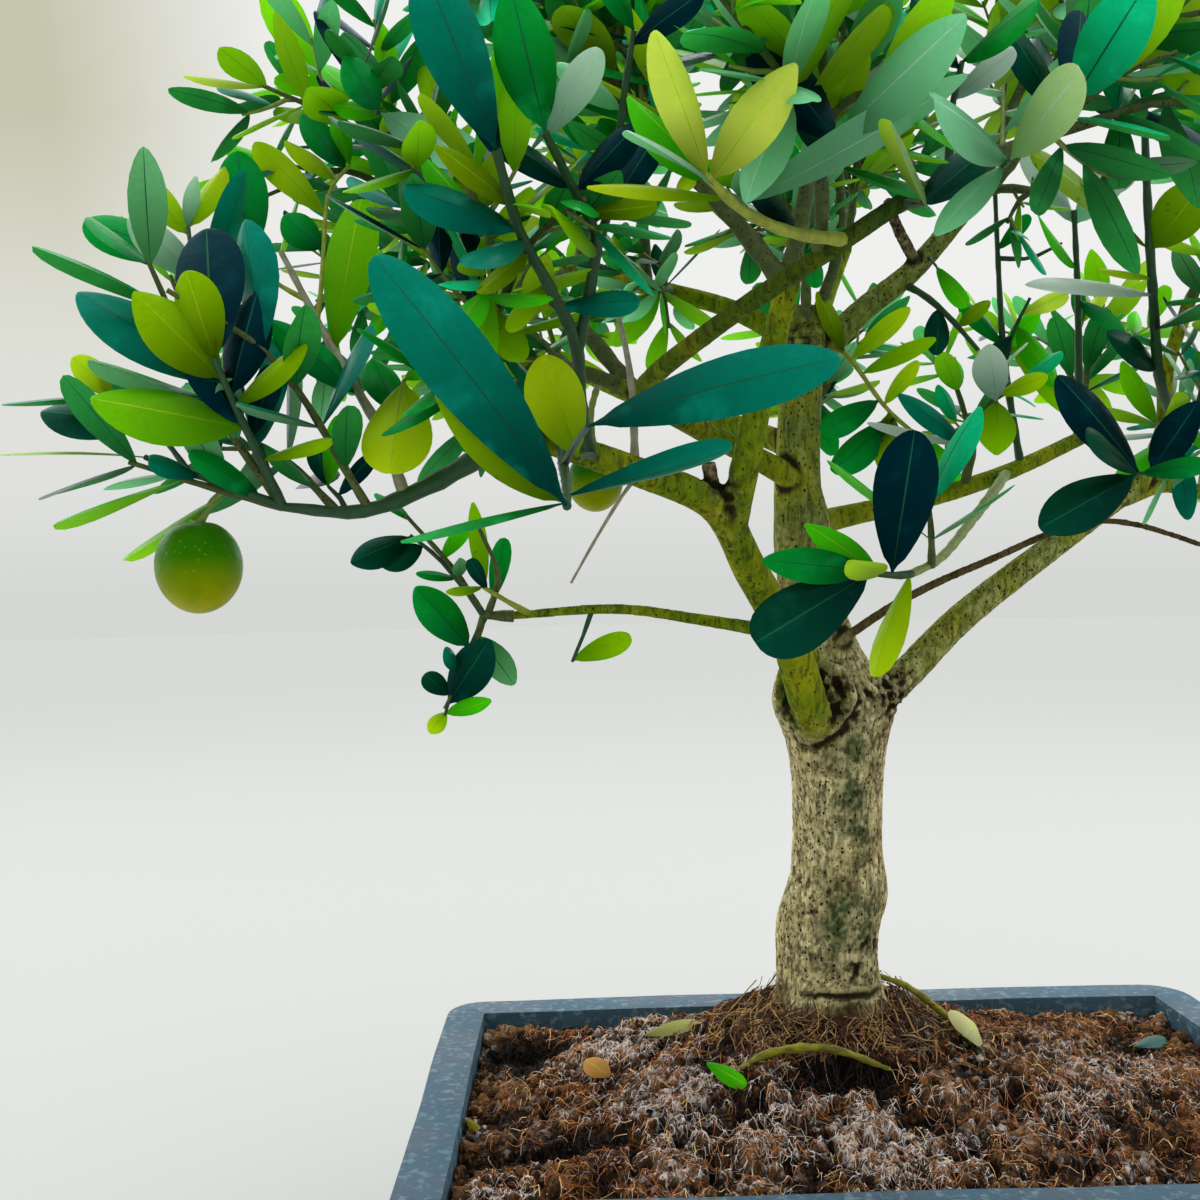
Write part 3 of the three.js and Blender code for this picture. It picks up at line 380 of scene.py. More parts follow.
class Finish:
    """A material built up in layers: a base colour, colours over it by mask, and relief."""

    def __init__(self, name, colour, roughness):
        self.material = bpy.data.materials.new(name)
        self.material.use_nodes = True
        self.tree = self.material.node_tree
        self.shader = self.tree.nodes["Principled BSDF"]
        self.colour = (*colour, 1)
        self.height = None
        self.give("Base Color", self.colour)
        self.give("Roughness", roughness)

    def give(self, name, value):
        """Sets an input of the shader itself, or links what feeds it."""
        feed(self.tree, self.shader.inputs[name], value)

    def mottled(self, scale, detail, low, high, stretch=(1, 1, 1)):
        """Places the mottling, with its scale and detail, fading in from low to high."""
        values = {"Scale": scale, "Stretch": stretch, "Detail": detail, "From": low, "To": high}
        return add_node(self.tree, "Group", values, node_tree=mottling).outputs[0]

    def speckled(self, scale, size, share, stretch=(1, 1, 1)):
        """Places the specks, of a size within their cells, on a share of the cells."""
        values = {"Scale": scale, "Stretch": stretch, "Size": size, "Share": share}
        return add_node(self.tree, "Group", values, node_tree=specks).outputs[0]

    def attribute(self, name):
        return add_node(self.tree, "Attribute", attribute_name=name).outputs["Fac"]

    def math(self, operation, one, other):
        return add_node(self.tree, "Math", {0: one, 1: other}, operation=operation).outputs[0]

    def times(self, one, other):
        return self.math("MULTIPLY", one, other)

    def over(self, *layers):
        """Lays colours over what is there, each as (mask, colour, share) where its mask is 1."""
        for mask, colour, share in layers:
            mixed = {0: self.times(mask, share), 6: self.colour, 7: (*colour, 1)}
            mix = add_node(self.tree, "Mix", mixed, data_type="RGBA", clamp_factor=True)
            self.colour = mix.outputs[2]
        self.give("Base Color", self.colour)

    def relief(self, *layers):
        """Adds relief, each as (mask, height in metres where the mask is 1)."""
        for mask, height in layers:
            rise = self.times(mask, height)
            self.height = rise if self.height is None else self.math("ADD", self.height, rise)

    def gloss(self, mask, low, high):
        """Roughness from low to high as the mask goes from 0 to 1."""
        ranged = add_node(self.tree, "MapRange", {"Value": mask, "To Min": low, "To Max": high})
        self.give("Roughness", ranged.outputs[0])

    def done(self):
        """Joins the relief to the shader and returns the material."""
        if self.height is not None:
            bump = add_node(self.tree, "Bump", {"Distance": 1.0, "Height": self.height})
            self.give("Normal", bump.outputs[0])
        return self.material


glaze = Finish("mottled blue glaze", (0.010, 0.038, 0.078), 0.3)
cloudy = glaze.mottled(38, 7, 0.42, 0.62)
fleck = glaze.mottled(380, 6, 0.52, 0.66)
dusty = glaze.mottled(150, 7, 0.5, 0.66)
grain = glaze.mottled(1500, 3, 0.3, 0.7)
rubbed = glaze.times(glaze.attribute("worn"), glaze.math("ADD", fleck, 0.45))
glaze.over(
    (cloudy, (0.024, 0.078, 0.135), 0.85),
    (dusty, (0.030, 0.090, 0.140), 0.4),
    (fleck, (0.030, 0.130, 0.210), 0.35),
    (rubbed, (0.190, 0.275, 0.310), 0.6),
)
glaze.relief((fleck, 0.00025), (grain, 0.00012))
glaze.gloss(cloudy, 0.48, 0.68)
glaze.give("Specular IOR Level", 0.15)
pot.data.materials.clear()
pot.data.materials.append(glaze.done())
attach(pot, "root")
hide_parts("pot")


# Soil: damp coco fibre, heaped from the pot's walls up to the trunk's foot. Crumbs, hollows and
# short rust brown fibres cover it, with paler threads that have dried white in patches.
# Painted shade darkens the hollows, the gaps among the fibres and the ground round the trunk's foot, with
# more dark fibres and crumbs there, and painted highlights lighten the raised lumps.
SOIL_EDGE = 0.066
SOIL_CROWN = 0.0915
SOIL_BOTTOM = SOIL_EDGE - 0.012
CROWN_RADIUS = 0.022
SOIL_SWELL = 1.7
SOIL_STEP = 0.00105
HOLLOW_DEPTH = 0.0024
TRUNK_FOOT = Vector((-0.007, 0.014, 0.0914))
SOIL_HALF = (POT_WIDTH / 2 - RIM_WIDTH - 0.0004, POT_DEPTH / 2 - RIM_WIDTH - 0.0004)
SOIL_CORNER = 0.007
PITS = [
    (-0.010, -0.0215, 0.013, 0.0045, 0.007), (-0.106, 0.044, 0.014, 0.010, 0.006),
    (-0.094, -0.034, 0.020, 0.006, 0.006), (0.012, -0.002, 0.006, 0.004, 0.003),
]
LUMP_SCALE, LUMP_HEIGHT = 55, 0.0026
CLOD_SCALE, CLOD_HEIGHT = 300, 0.0020
HOLLOW_SCALE, HOLLOW_DROP = 240, 0.009
random = np.random.default_rng(5)


def within(value):
    """A value held between 0 and 1."""
    return min(1.0, max(0.0, value))


def soil_share(x, y):
    """0 at the pot's wall and 1 on the mound's crown under the trunk."""
    dx, dy = x - TRUNK_FOOT.x, y - TRUNK_FOOT.y
    away = math.hypot(dx, dy)
    if away < CROWN_RADIUS:
        return 1.0
    reach_x = (math.copysign(SOIL_HALF[0], dx) - TRUNK_FOOT.x) / dx if abs(dx) > 1e-9 else 1e9
    reach_y = (math.copysign(SOIL_HALF[1], dy) - TRUNK_FOOT.y) / dy if abs(dy) > 1e-9 else 1e9
    edge = away * min(reach_x, reach_y)
    return within((edge - away) / (edge - CROWN_RADIUS))


def mound_height(x, y):
    return SOIL_EDGE + (SOIL_CROWN - SOIL_EDGE) * soil_share(x, y) ** SOIL_SWELL


def soil_height(x, y):
    """The soil's surface: the mound, its lumps and hollows, and its crumbs."""
    place = Vector((x, y, 0))
    lumps = noise.fractal(place * LUMP_SCALE, 0.9, 2.0, 3) * LUMP_HEIGHT
    clods = noise.fractal(place * CLOD_SCALE, 0.8, 2.0, 3) * CLOD_HEIGHT
    hollow = min(0.0, noise.noise(place * HOLLOW_SCALE + Vector((7, 3, 0))) + 0.12) * HOLLOW_DROP
    rough = 1 - 0.6 * soil_share(x, y) ** 6
    pit = sum(deep * math.exp(-(((x - px) / long) ** 2 + ((y - py) / wide) ** 2))
              for px, py, long, wide, deep in PITS)
    return mound_height(x, y) + (lumps + clods + hollow) * rough - pit


def sunken(x, y):
    """How deep a place lies in a hollow, 0 to 1."""
    return within((mound_height(x, y) - soil_height(x, y)) / HOLLOW_DEPTH)


columns = round(2 * SOIL_HALF[0] / SOIL_STEP)
rows = round(2 * SOIL_HALF[1] / SOIL_STEP)
bpy.ops.mesh.primitive_grid_add(x_subdivisions=columns, y_subdivisions=rows, size=1)
soil = bpy.context.object
soil.name = "soil_bed"
for vertex in soil.data.vertices:
    x = vertex.co.x * 2 * SOIL_HALF[0]
    y = vertex.co.y * 2 * SOIL_HALF[1]
    out_x = abs(x) - (SOIL_HALF[0] - SOIL_CORNER)
    out_y = abs(y) - (SOIL_HALF[1] - SOIL_CORNER)
    if out_x > 0 and out_y > 0:
        shrink = max(out_x, out_y) / math.hypot(out_x, out_y)
        x = math.copysign(SOIL_HALF[0] - SOIL_CORNER + out_x * shrink, x)
        y = math.copysign(SOIL_HALF[1] - SOIL_CORNER + out_y * shrink, y)
    vertex.co = (x, y, soil_height(x, y))
drops = [mound_height(vertex.co.x, vertex.co.y) - vertex.co.z for vertex in soil.data.vertices]
from_foot = [(vertex.co.to_2d() - TRUNK_FOOT.to_2d()).length for vertex in soil.data.vertices]
# Depth below the mound, with a ring round the trunk's foot, for painted shade in the hollows and round the
# foot; raised places get a painted highlight.
hollow_shade = np.array(drops) / HOLLOW_DEPTH
hollow_shade += 0.75 * np.exp(-np.maximum(0, np.array(from_foot) - 0.019) / 0.009)
mark(soil, "hollow_shade", np.clip(hollow_shade, 0, 1))
mark(soil, "proud_highlight", np.clip(-hollow_shade * 1.4, 0, 1))
start_edit(soil)
bpy.ops.mesh.select_mode(type="EDGE")
bpy.ops.mesh.select_non_manifold()
extrude(-0.02)
bpy.ops.mesh.edge_face_add()
end_edit()
for vertex in soil.data.vertices:
    if vertex.co.z < SOIL_BOTTOM + 0.003:
        vertex.co.z = SOIL_BOTTOM
shade_smooth(soil, 60)

# Black of the darkest earth, and of the painted shade in the gaps among the fibres.
BLACK_EARTH_AND_GAP_SHADE = (0.004, 0.0015, 0.001)
earth = Finish("damp coco fibre", (0.026, 0.008, 0.0035), 0.95)
rusty = earth.mottled(260, 8, 0.46, 0.6)
threads = earth.mottled(900, 5, 0.48, 0.7, (1, 0.25, 1))
dark = earth.mottled(190, 7, 0.5, 0.6)
dry = earth.mottled(30, 4, 0.5, 0.62)
lace = earth.mottled(420, 9, 0.51, 0.58)
gap_shade = earth.mottled(640, 6, 0.54, 0.60)
earth.over(
    (rusty, (0.24, 0.080, 0.022), 0.55),
    (threads, (0.72, 0.36, 0.13), 0.65),
    (dark, BLACK_EARTH_AND_GAP_SHADE, 0.95),
    # Painted shade in the gaps among the fibres.
    (gap_shade, BLACK_EARTH_AND_GAP_SHADE, 0.95),
    # Painted highlight on the raised lumps.
    (earth.attribute("proud_highlight"), (0.62, 0.33, 0.15), 0.32),
    (earth.times(dry, lace), (0.80, 0.71, 0.68), 0.8),
    # Painted shade in the hollows and round the trunk's foot.
    (earth.attribute("hollow_shade"), (0.003, 0.002, 0.001), 1.0),
)
earth.relief((threads, 0.0009), (lace, 0.0008))
earth.give("Specular IOR Level", 0.1)
soil.data.materials.append(earth.done())
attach(soil, "root")
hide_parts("soil")


def plain_mesh(name, points, faces, colours=None):
    """A piece from points and faces, each face with the number of its material."""
    mesh = bpy.data.meshes.new(name)
    mesh.from_pydata(points, [], faces)
    if colours is not None:
        mesh.polygons.foreach_set("material_index", colours)
    mesh.update()
    piece = bpy.data.objects.new(name, mesh)
    bpy.context.scene.collection.objects.link(piece)
    return piece


def ring_faces(rings, sides):
    """Faces between rings of points, and one over each end."""
    faces = []
    for low in range(0, (rings - 1) * sides, sides):
        for side in range(sides):
            after = (side + 1) % sides
            faces.append((low + side, low + after, low + sides + after, low + sides + side))
    last = (rings - 1) * sides
    return faces + [tuple(range(sides - 1, -1, -1)), tuple(range(last, last + sides))]


def tube(middles, radii, sides):
    """Rings round a line of points, carried along without twist, and their closed faces."""
    middles = np.asarray(middles, float)
    ways = np.gradient(middles, axis=0)
    ways /= np.linalg.norm(ways, axis=1)[:, None]
    across = np.cross((0, 0, 1), ways[0])
    if across @ across < 0.01:
        across = np.array((1.0, 0, 0))
    turns = np.arange(sides) * 2 * math.pi / sides
    points = []
    for middle, way, radius in zip(middles, ways, radii):
        across = across - (across @ way) * way
        across /= np.linalg.norm(across)
        beyond = np.cross(way, across)
        ring = np.outer(np.cos(turns), across) + np.outer(np.sin(turns), beyond)
        points.append(middle + ring * radius)
    return np.vstack(points), ring_faces(len(middles), sides)


class Heap:
    """Many small closed shapes gathered into one piece."""

    def __init__(self):
        self.points, self.faces, self.colours, self.lights, self.count = [], [], [], [], 0

    def add(self, points, faces, colour=0):
        """Adds one shape, with one material for all its faces or a list of them."""
        self.points.append(points)
        self.faces += [tuple(corner + self.count for corner in face) for face in faces]
        self.colours += colour if isinstance(colour, list) else [colour] * len(faces)
        self.count += len(points)

    def add_tube(self, middles, radii, sides, colour=0, unit=1.0):
        points, faces = tube(middles, radii, sides)
        self.add(points * unit, faces, colour)

    def piece(self, name, materials=()):
        made = plain_mesh(name, np.vstack(self.points), self.faces, self.colours)
        for material in materials:
            made.data.materials.append(material)
        if self.lights:
            mark(made, "light", np.concatenate(self.lights))
        return made


FIBRES = 9600
FIBRE_POINTS = 4
CRUMBS = 3600
WEBS = 1700
PALE_PATCHES = [
    (-0.060, -0.026, 0.022), (0.002, -0.046, 0.022), (-0.072, 0.030, 0.024), (0.080, 0.004, 0.022),
    (-0.030, -0.034, 0.018), (-0.112, -0.056, 0.014), (0.052, -0.030, 0.012),
]
WEB_ARMS = 4
WEB_SHARES = (0, 0.33, 0.67, 1)
WEB_RADII = (0.00013, 0.00005, 0.000035, 0.00002)


def fibre_line(x, y, length, lift):
    """A short curved thread that lies on the soil and arches a little."""
    turn = random.uniform(0, 2 * math.pi)
    curl = random.uniform(-2.2, 2.2)
    line = []
    for step in range(FIBRE_POINTS):
        share = step / 3
        line.append((x, y, soil_height(x, y) + lift * math.sin(math.pi * share) + 0.0002))
        x += math.cos(turn + curl * share) * length / 3
        y += math.sin(turn + curl * share) * length / 3
    return line


def on_soil(x, y, margin=0.002):
    inside = abs(x) < SOIL_HALF[0] - margin and abs(y) < SOIL_HALF[1] - margin
    return inside and math.hypot(x - TRUNK_FOOT.x, y - TRUNK_FOOT.y) > 0.017


def paleness(x, y):
    """How dried out the soil is at a place, 0 to 1."""
    return max(math.exp(-((x - px) ** 2 + (y - py) ** 2) / (2 * r * r)) for px, py, r in PALE_PATCHES)


fibres = Heap()
while fibres.count < FIBRES * FIBRE_POINTS * 3:
    x, y = random.uniform(-1, 1, 2) * SOIL_HALF
    pale = random.random() < 0.35 * paleness(x, y) * (1 - sunken(x, y))
    length = random.uniform(0.002, 0.008)
    if not on_soil(x, y, 0.008):
        continue
    # More dark fibres in the hollows, as painted shade.
    kind = 2 if pale else int(random.random() < 0.42 + 0.58 * sunken(x, y))
    if kind == 0 and random.random() < 0.3:
        kind = 3
    radius = random.uniform(0.00004, 0.00007) if pale else random.uniform(0.00007, 0.00019)
    line = fibre_line(x, y, length, random.uniform(0, 0.0014))
    fibres.add_tube(line, np.linspace(radius, radius * 0.5, len(line)), 3, kind)
fibre_piece = fibres.piece("soil_fibres", [
    Finish("rust brown fibre", (0.48, 0.155, 0.035), 0.9).done(),
    Finish("dark fibre", (0.018, 0.006, 0.003), 0.9).done(),
    Finish("dried pale thread", (0.86, 0.77, 0.74), 0.95).done(),
    Finish("straw fibre", (0.88, 0.56, 0.25), 0.9).done(),
])

webs = Heap()
while webs.count < WEBS * WEB_ARMS * len(WEB_SHARES) * 3:
    x, y = random.uniform(-1, 1, 2) * SOIL_HALF
    if not on_soil(x, y, 0.006) or random.random() > paleness(x, y) ** 3 or sunken(x, y) > 0.3:
        continue
    for turn in random.uniform(0, 2 * math.pi, WEB_ARMS):
        length = 0.0008 + 0.0034 * random.random() ** 2
        bend = random.uniform(-0.35, 0.35)
        out_x, out_y = math.cos(turn) * length, math.sin(turn) * length
        low, high = soil_height(x, y) + 0.0006, soil_height(x + out_x, y + out_y) + 0.0002
        line = []
        for share in WEB_SHARES:
            arc = math.sin(math.pi * share)
            place = x + out_x * share - out_y * bend * arc, y + out_y * share + out_x * bend * arc
            height = low + (high - low) * share - 0.0006 * arc
            line.append((*place, max(height, soil_height(*place) + 0.00015)))
        webs.add_tube(line, WEB_RADII, 3)
web_piece = webs.piece("soil_webs", [Finish("dried white film", (0.86, 0.77, 0.74), 0.95).done()])

bpy.ops.mesh.primitive_ico_sphere_add(subdivisions=1, radius=1)
crumb_seed = bpy.context.object
crumb_points = np.array([vertex.co for vertex in crumb_seed.data.vertices])
crumb_faces = [tuple(face.vertices) for face in crumb_seed.data.polygons]
bpy.data.objects.remove(crumb_seed)
crumbs = Heap()
while crumbs.count < CRUMBS * len(crumb_points):
    x, y = random.uniform(-1, 1, 2) * SOIL_HALF
    if not on_soil(x, y):
        continue
    size = (0.0002 + 0.0008 * random.random() ** 4) * random.uniform(0.6, 1.2, 3)
    shape = crumb_points * size * random.uniform(0.6, 1.3, (len(crumb_points), 1))
    place = np.array((x, y, soil_height(x, y) + 0.3 * size[2]))
    # More dark crumbs in the hollows, as painted shade.
    is_dark = random.random() < 0.45 + sunken(x, y)
    kind = 1 if is_dark else 2 * int(random.random() < 0.3 * paleness(x, y))
    crumbs.add(shape + place, crumb_faces, kind)
crumb_piece = crumbs.piece("soil_crumbs", [
    Finish("brown crumb", (0.26, 0.090, 0.028), 0.95).done(),
    Finish("dark crumb", (0.010, 0.004, 0.002), 0.95).done(),
    Finish("grey crumb", (0.46, 0.36, 0.31), 0.95).done(),
])
for piece in (fibre_piece, web_piece, crumb_piece):
    shade_smooth(piece, 60)
    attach(piece, "root")


# Trunk, boughs and stubs: one living wood, so the limbs are grown together at their collars into
# one skin. The old bark is cream with dark raised pores, corky round the fork and green with
# algae in places; the younger limbs are yellow green. All sizes of the tree are in millimetres.
# Painted shade darkens the bark's creases and grooves and the outer limbs under the leaves, and painted
# highlights lighten its ridges.
MM = 0.001
TRUNK_X, TRUNK_Y, TRUNK_Z = TRUNK_FOOT / MM
TRUNK_PROFILE = [
    (91.4, -7.2, 16.8), (95, -7.2, 16.2), (99, -7.2, 15.8), (105, -7.5, 15.5), (119, -6.6, 15.1),
    (133, -4.1, 14.4), (146, -4, 13.9), (160, -3.9, 14.1), (176, -4, 15.2), (188, -4.9, 16.8),
    (195, -6.6, 14.8), (203, -7.6, 11.6), (217, -10.8, 10), (238, -13.6, 8.6), (255, -14.7, 7.1),
    (289, -12.9, 6.6), (313, -11.5, 5.3),
]
TRUNK_SWELLINGS = [
    (125, 0, 2.6, 6), (117, 178, 1.6, 7), (187, 188, 3, 8), (189, -5, 3.2, 8),
    (172, 250, 1.8, 10), (246, 20, 1.8, 7), (300, 30, 1.6, 6),
]
TRUNK_SIDES, TRUNK_SUNK, TRUNK_RING_GAP = 56, 3.2, 1.6
FLARE_TURNS = (22, 112, 172, 225, 290, 338)
FLARE_OUT, FLARE_WIDTH, FLARE_FADE = 2.4, 13, 6
COLLAR_LENGTH = 9
BOUGHS = [
    ("bough_left", 6.2, 3.2, 0.4, [(-12, 8, 177.5), (-13.8, -1.5, 183.5), (-17, -7, 192), (-23, -13, 209),
     (-36, -30, 229), (-47, -43, 246), (-69, -57, 255), (-102, -74, 265)]),
    ("bough_front_upright", 4.2, 3.1, 1,
     [(-43, -38, 240), (-40, -45, 253), (-35, -49, 276), (-27, -56, 308)]),
    ("bough_right", 5.4, 3.4, 1.8,
     [(0, 13, 182), (14, 12, 192), (36, 12, 213), (62, 14, 232), (100, 22, 257)]),
    ("bough_right_outer", 3, 2.3, 0.5,
     [(92, 20, 251), (108, 25, 255), (126, 30, 252), (140, 33, 256)]),
    ("bough_right_rising", 2.8, 2.1, 0.5,
     [(97, 21, 254), (105, 20, 272), (104, 15, 290), (108, 6, 312)]),
    ("bough_right_back", 3.8, 2.5, 1,
     [(-12, 16, 243), (0, 24, 246), (38, 38, 254), (64, 46, 262), (95, 56, 275)]),
    ("bough_left_mid", 3.7, 2.7, 0.9, [(-13, 12, 256), (-29, 4, 264), (-46, -12, 270), (-72, -40, 280)]),
    ("bough_front_crossing", 2.8, 2, 0.4,
     [(-67, -35, 278), (-62, -58, 281), (-44, -90, 290), (-27, -110, 298), (-12, -115, 307)]),
    ("bough_left_low", 1.9, 1.3, 0.7, [(-27, -15, 211), (-49, -14, 215), (-72, -12, 218.5), (-109, -8, 217)]),
    ("bough_left_high", 3.5, 2.5, 0.9, [(-12, 17, 300), (-30, 28, 314), (-52, 36, 323), (-89, 48, 334)]),
    ("bough_right_high", 4.3, 3, 1, [(-10, 16, 294), (8, 20, 312), (25, 22, 325), (51, 27, 354)]),
    ("bough_back", 3.9, 2.5, 1, [(-12, 18, 228), (-10, 36, 240), (-4, 66, 262), (6, 92, 284)]),
    ("bough_back_left", 3.7, 2.4, 0.9, [(-14, 16, 268), (-34, 34, 279), (-62, 58, 291), (-88, 76, 306)]),
    ("bough_back_high", 3.4, 2.3, 0.8, [(-12, 17, 283), (-6, 34, 300), (4, 54, 324), (14, 66, 346)]),
    ("thin_shoot_right", 1.5, 0.9, 0.4,
     [(-8, 6, 204), (14, 0, 219), (38, -3, 230), (74, -5, 242), (110, -8, 232)]),
    ("stub_left_fork", 2.2, 2, 0, [(-47, -42, 246), (-49, -46, 258)]),
    ("stub_right_high", 2, 1.7, 0, [(27, 22, 327), (19, 14, 336), (14, 8, 344)]),
]
GREENNESS = {"bough_right_high": 0.5, "bough_right": 0.62, "stub_right_high": 0.1, "stub_left_fork": 0.1}
# Painted shade for the shadow of the foliage over some limbs, as its share at the limb's root and at its tip.
LIMB_SHADE = {"bough_left": (-6, 1.2), "bough_front_crossing": (0.2, 1.0), "bough_left_mid": (0, 0.5)}
LEADER_GREENNESS = 0.6
LEADER_STARTS = 205
# Folds of old bark that have closed round the limbs at the fork, and wrinkles at the collars.
FOLDS = [
    (2.3, [(-16, -3.5, 206), (-10, -2, 200), (-4.5, -3, 196), (-3, -3.5, 191), (-4.8, -4, 186),
           (-8.5, -3.8, 181.5), (-12, -2.6, 178.5)]),
    (1.4, [(-9.5, -1, 198), (-8, -3.5, 192), (-7.5, -4, 187)]),
    (1.9, [(-22.5, 1, 200), (-23.5, 0, 193), (-21.5, -1, 186), (-17.8, -0.8, 180.5), (-15, -0.4, 179)]),
    (1.2, [(4, -3, 196), (8, -1.5, 190), (7.5, -2, 184)]),
    (1.1, [(8.5, 0, 197), (12.5, 2.5, 191), (12, 2, 184)]),
    (1.0, [(13.5, 4, 197), (16.5, 8, 192), (15.5, 8, 186)]),
]
FOOT_FOLD_Z, FOOT_FOLD_TURN, FOOT_FOLD_WIDTH = 98.5, 278, 38
BARK_VOXEL = 0.83
GREEN_STARTS = {"bough_left": 7.5, "bough_right": 18}
CORKY_PLACES = [
    (-21, 2, 188, 5), (13, 6, 189, 6), (-8, -2, 193, 4.5), (-6, -3, 186, 3.5), (2, -1, 114, 2.3),
    (6.5, 5, 113, 2), (-2, -2, 106, 2.2), (-46, -44, 250, 4), (-15, 8, 297, 5), (4, -2, 190, 3),
]
ALGAE_PLACES = [
    (0, 0, 146, 5, 7), (-4, -1, 120, 8, 10), (-1, -1, 172, 5, 7), (-4, -1, 98, 8, 3),
    (-2, 0, 160, 4, 6),
]


class Way:
    """A smooth way through points, centripetal Catmull-Rom, read by its share of length."""

    def __init__(self, points):
        known = np.asarray(points, float)
        known = np.vstack((2 * known[0] - known[1], known, 2 * known[-1] - known[-2]))
        steps = round(200 / (len(points) - 1))
        share = np.linspace(0, 1, steps, endpoint=False)[:, None]
        spans = []
        for before, here, there, after in zip(known, known[1:], known[2:], known[3:]):
            first = max(np.linalg.norm(here - before) ** 0.5, 1e-4)
            second = max(np.linalg.norm(there - here) ** 0.5, 1e-4)
            third = max(np.linalg.norm(after - there) ** 0.5, 1e-4)
            leave = (here - before) / first - (there - before) / (first + second)
            leave = (leave + (there - here) / second) * second
            arrive = (there - here) / second - (after - here) / (second + third)
            arrive = (arrive + (after - there) / third) * second
            square = 3 * (there - here) - 2 * leave - arrive
            cube = 2 * (here - there) + leave + arrive
            spans.append(here + leave * share + square * share ** 2 + cube * share ** 3)
        self.line = np.vstack(spans + [known[-2:-1]])
        pieces = np.linalg.norm(np.diff(self.line, axis=0), axis=1)
        self.reached = np.concatenate(([0], np.cumsum(pieces)))
        self.length = self.reached[-1]

    def at(self, share):
        place = np.asarray(share) * self.length
        return np.stack([np.interp(place, self.reached, self.line[:, k]) for k in range(3)], -1)

    def along(self, share):
        ahead = self.at(min(1, share + 0.004)) - self.at(max(0, share - 0.004))
        return ahead / np.linalg.norm(ahead)


def trunk_radius(radius, turn, z):
    """The trunk's radius towards a turn: lobes, healed knots and the root flare."""
    found = radius * (1 + 0.035 * math.sin(3 * turn + z / 22))
    for height, aim, rise, spread in TRUNK_SWELLINGS:
        away = turn - math.radians(aim)
        around = math.atan2(math.sin(away), math.cos(away)) * radius
        found += rise * math.exp(-(around ** 2 + (z - height) ** 2) / (2 * spread ** 2))
    for buttress in FLARE_TURNS:
        away = (math.degrees(turn) - buttress + 180) % 360 - 180
        fade = ((away / FLARE_WIDTH) ** 2) / 2 + (z - TRUNK_Z) / FLARE_FADE
        found += FLARE_OUT * math.exp(-fade)
    return found


def limb_radius(root, tip, collar, share, length):
    """A bough's radius at a share of its length, thickened where it leaves its parent."""
    return root + (tip - root) * share + collar * np.exp(-share * length / COLLAR_LENGTH)


wood = Heap()
levels = np.array(TRUNK_PROFILE)
trunk_points = []
heights = np.arange(levels[0, 0] - TRUNK_SUNK, levels[-1, 0] + 0.1, TRUNK_RING_GAP)
for z in heights:
    middle = np.interp(z, levels[:, 0], levels[:, 1])
    radius = np.interp(z, levels[:, 0], levels[:, 2])
    for turn in np.arange(TRUNK_SIDES) * 2 * math.pi / TRUNK_SIDES:
        r = trunk_radius(radius, turn, z)
        trunk_points.append((middle + r * math.cos(turn), TRUNK_Y + r * math.sin(turn), z))
wood.add(np.array(trunk_points) * MM, ring_faces(len(heights), TRUNK_SIDES))

for name, root, tip, collar, points in BOUGHS:
    way = Way(points)
    shares = np.linspace(0, 1, max(4, round(way.length / 2.5)))
    radii = limb_radius(root, tip, collar, shares, way.length)
    if not name.startswith("stub"):
        radii[-1] *= 0.8
    wood.add_tube(way.at(shares), radii, 16, unit=MM)
for radius, points in FOLDS:
    way = Way(points)
    shares = np.linspace(0, 1, round(way.length / 1.5))
    uneven = 1 + 0.14 * np.sin(shares * 23)
    radii = radius * (0.35 + 0.65 * np.sin(math.pi * shares) ** 0.5) * uneven
    wood.add_tube(way.at(shares), radii, 10, unit=MM)
timber = wood.piece("trunk_and_boughs")
apply_modifier(timber, "REMESH", mode="VOXEL", voxel_size=BARK_VOXEL * MM)
apply_modifier(timber, "SMOOTH", factor=0.5, iterations=2)


def trunk_steps():
    """Straight pieces of the trunk's middle: both ends and both radii."""
    for low, high in zip(TRUNK_PROFILE, TRUNK_PROFILE[1:]):
        yield (low[1], TRUNK_Y, low[0]), (high[1], TRUNK_Y, high[0]), low[2], high[2]


def bough_steps(longest):
    """Straight pieces of the boughs: name, both ends, radius, share and length reached."""
    for name, root, tip, collar, points in BOUGHS:
        way = Way(points)
        count = math.ceil(way.length / longest)
        for step in range(count):
            share = (step + 0.5) / count
            radius = limb_radius(root, tip, collar, share, way.length)
            ends = way.at(step / count), way.at((step + 1) / count)
            yield name, *ends, radius, share, share * way.length


def distances(points, starts, spans):
    """How far each point lies from the middle line of each straight piece."""
    share = ((points[:, None] - starts) * spans).sum(2) / (spans ** 2).sum(1)
    near = starts + spans * np.clip(share, 0, 1)[..., None]
    return np.linalg.norm(points[:, None] - near, axis=2)


# Each straight piece of a limb has its ends, its radius, how green, brown and grey it is, and its painted
# shade for the shadow of the leaves.
limbs = []
for start, end, low, high in trunk_steps():
    risen = within((start[2] - LEADER_STARTS) / 25)
    limbs.append((start, end, (low + high) / 2, LEADER_GREENNESS * risen, 0, risen, 0))
for name, start, end, radius, share, reached in bough_steps(3):
    green = GREENNESS.get(name, 1.0) * min(1.0, 0.8 + reached / 30)
    green *= within((reached - GREEN_STARTS.get(name, -9)) / 5)
    brown = float(name.startswith(("thin", "stub")))
    grey = float(name == "bough_right_high")
    first, last = LIMB_SHADE.get(name, (0, 0))
    limbs.append((start, end, radius, green, brown, grey, within(first + (last - first) * share)))
limb_from = np.array([limb[0] for limb in limbs], float)
limb_span = np.array([limb[1] for limb in limbs], float) - limb_from
limb_thick, *limb_tints = np.array([limb[2:] for limb in limbs], float).T
spots = np.array([vertex.co for vertex in timber.data.vertices]) / MM
tints = []
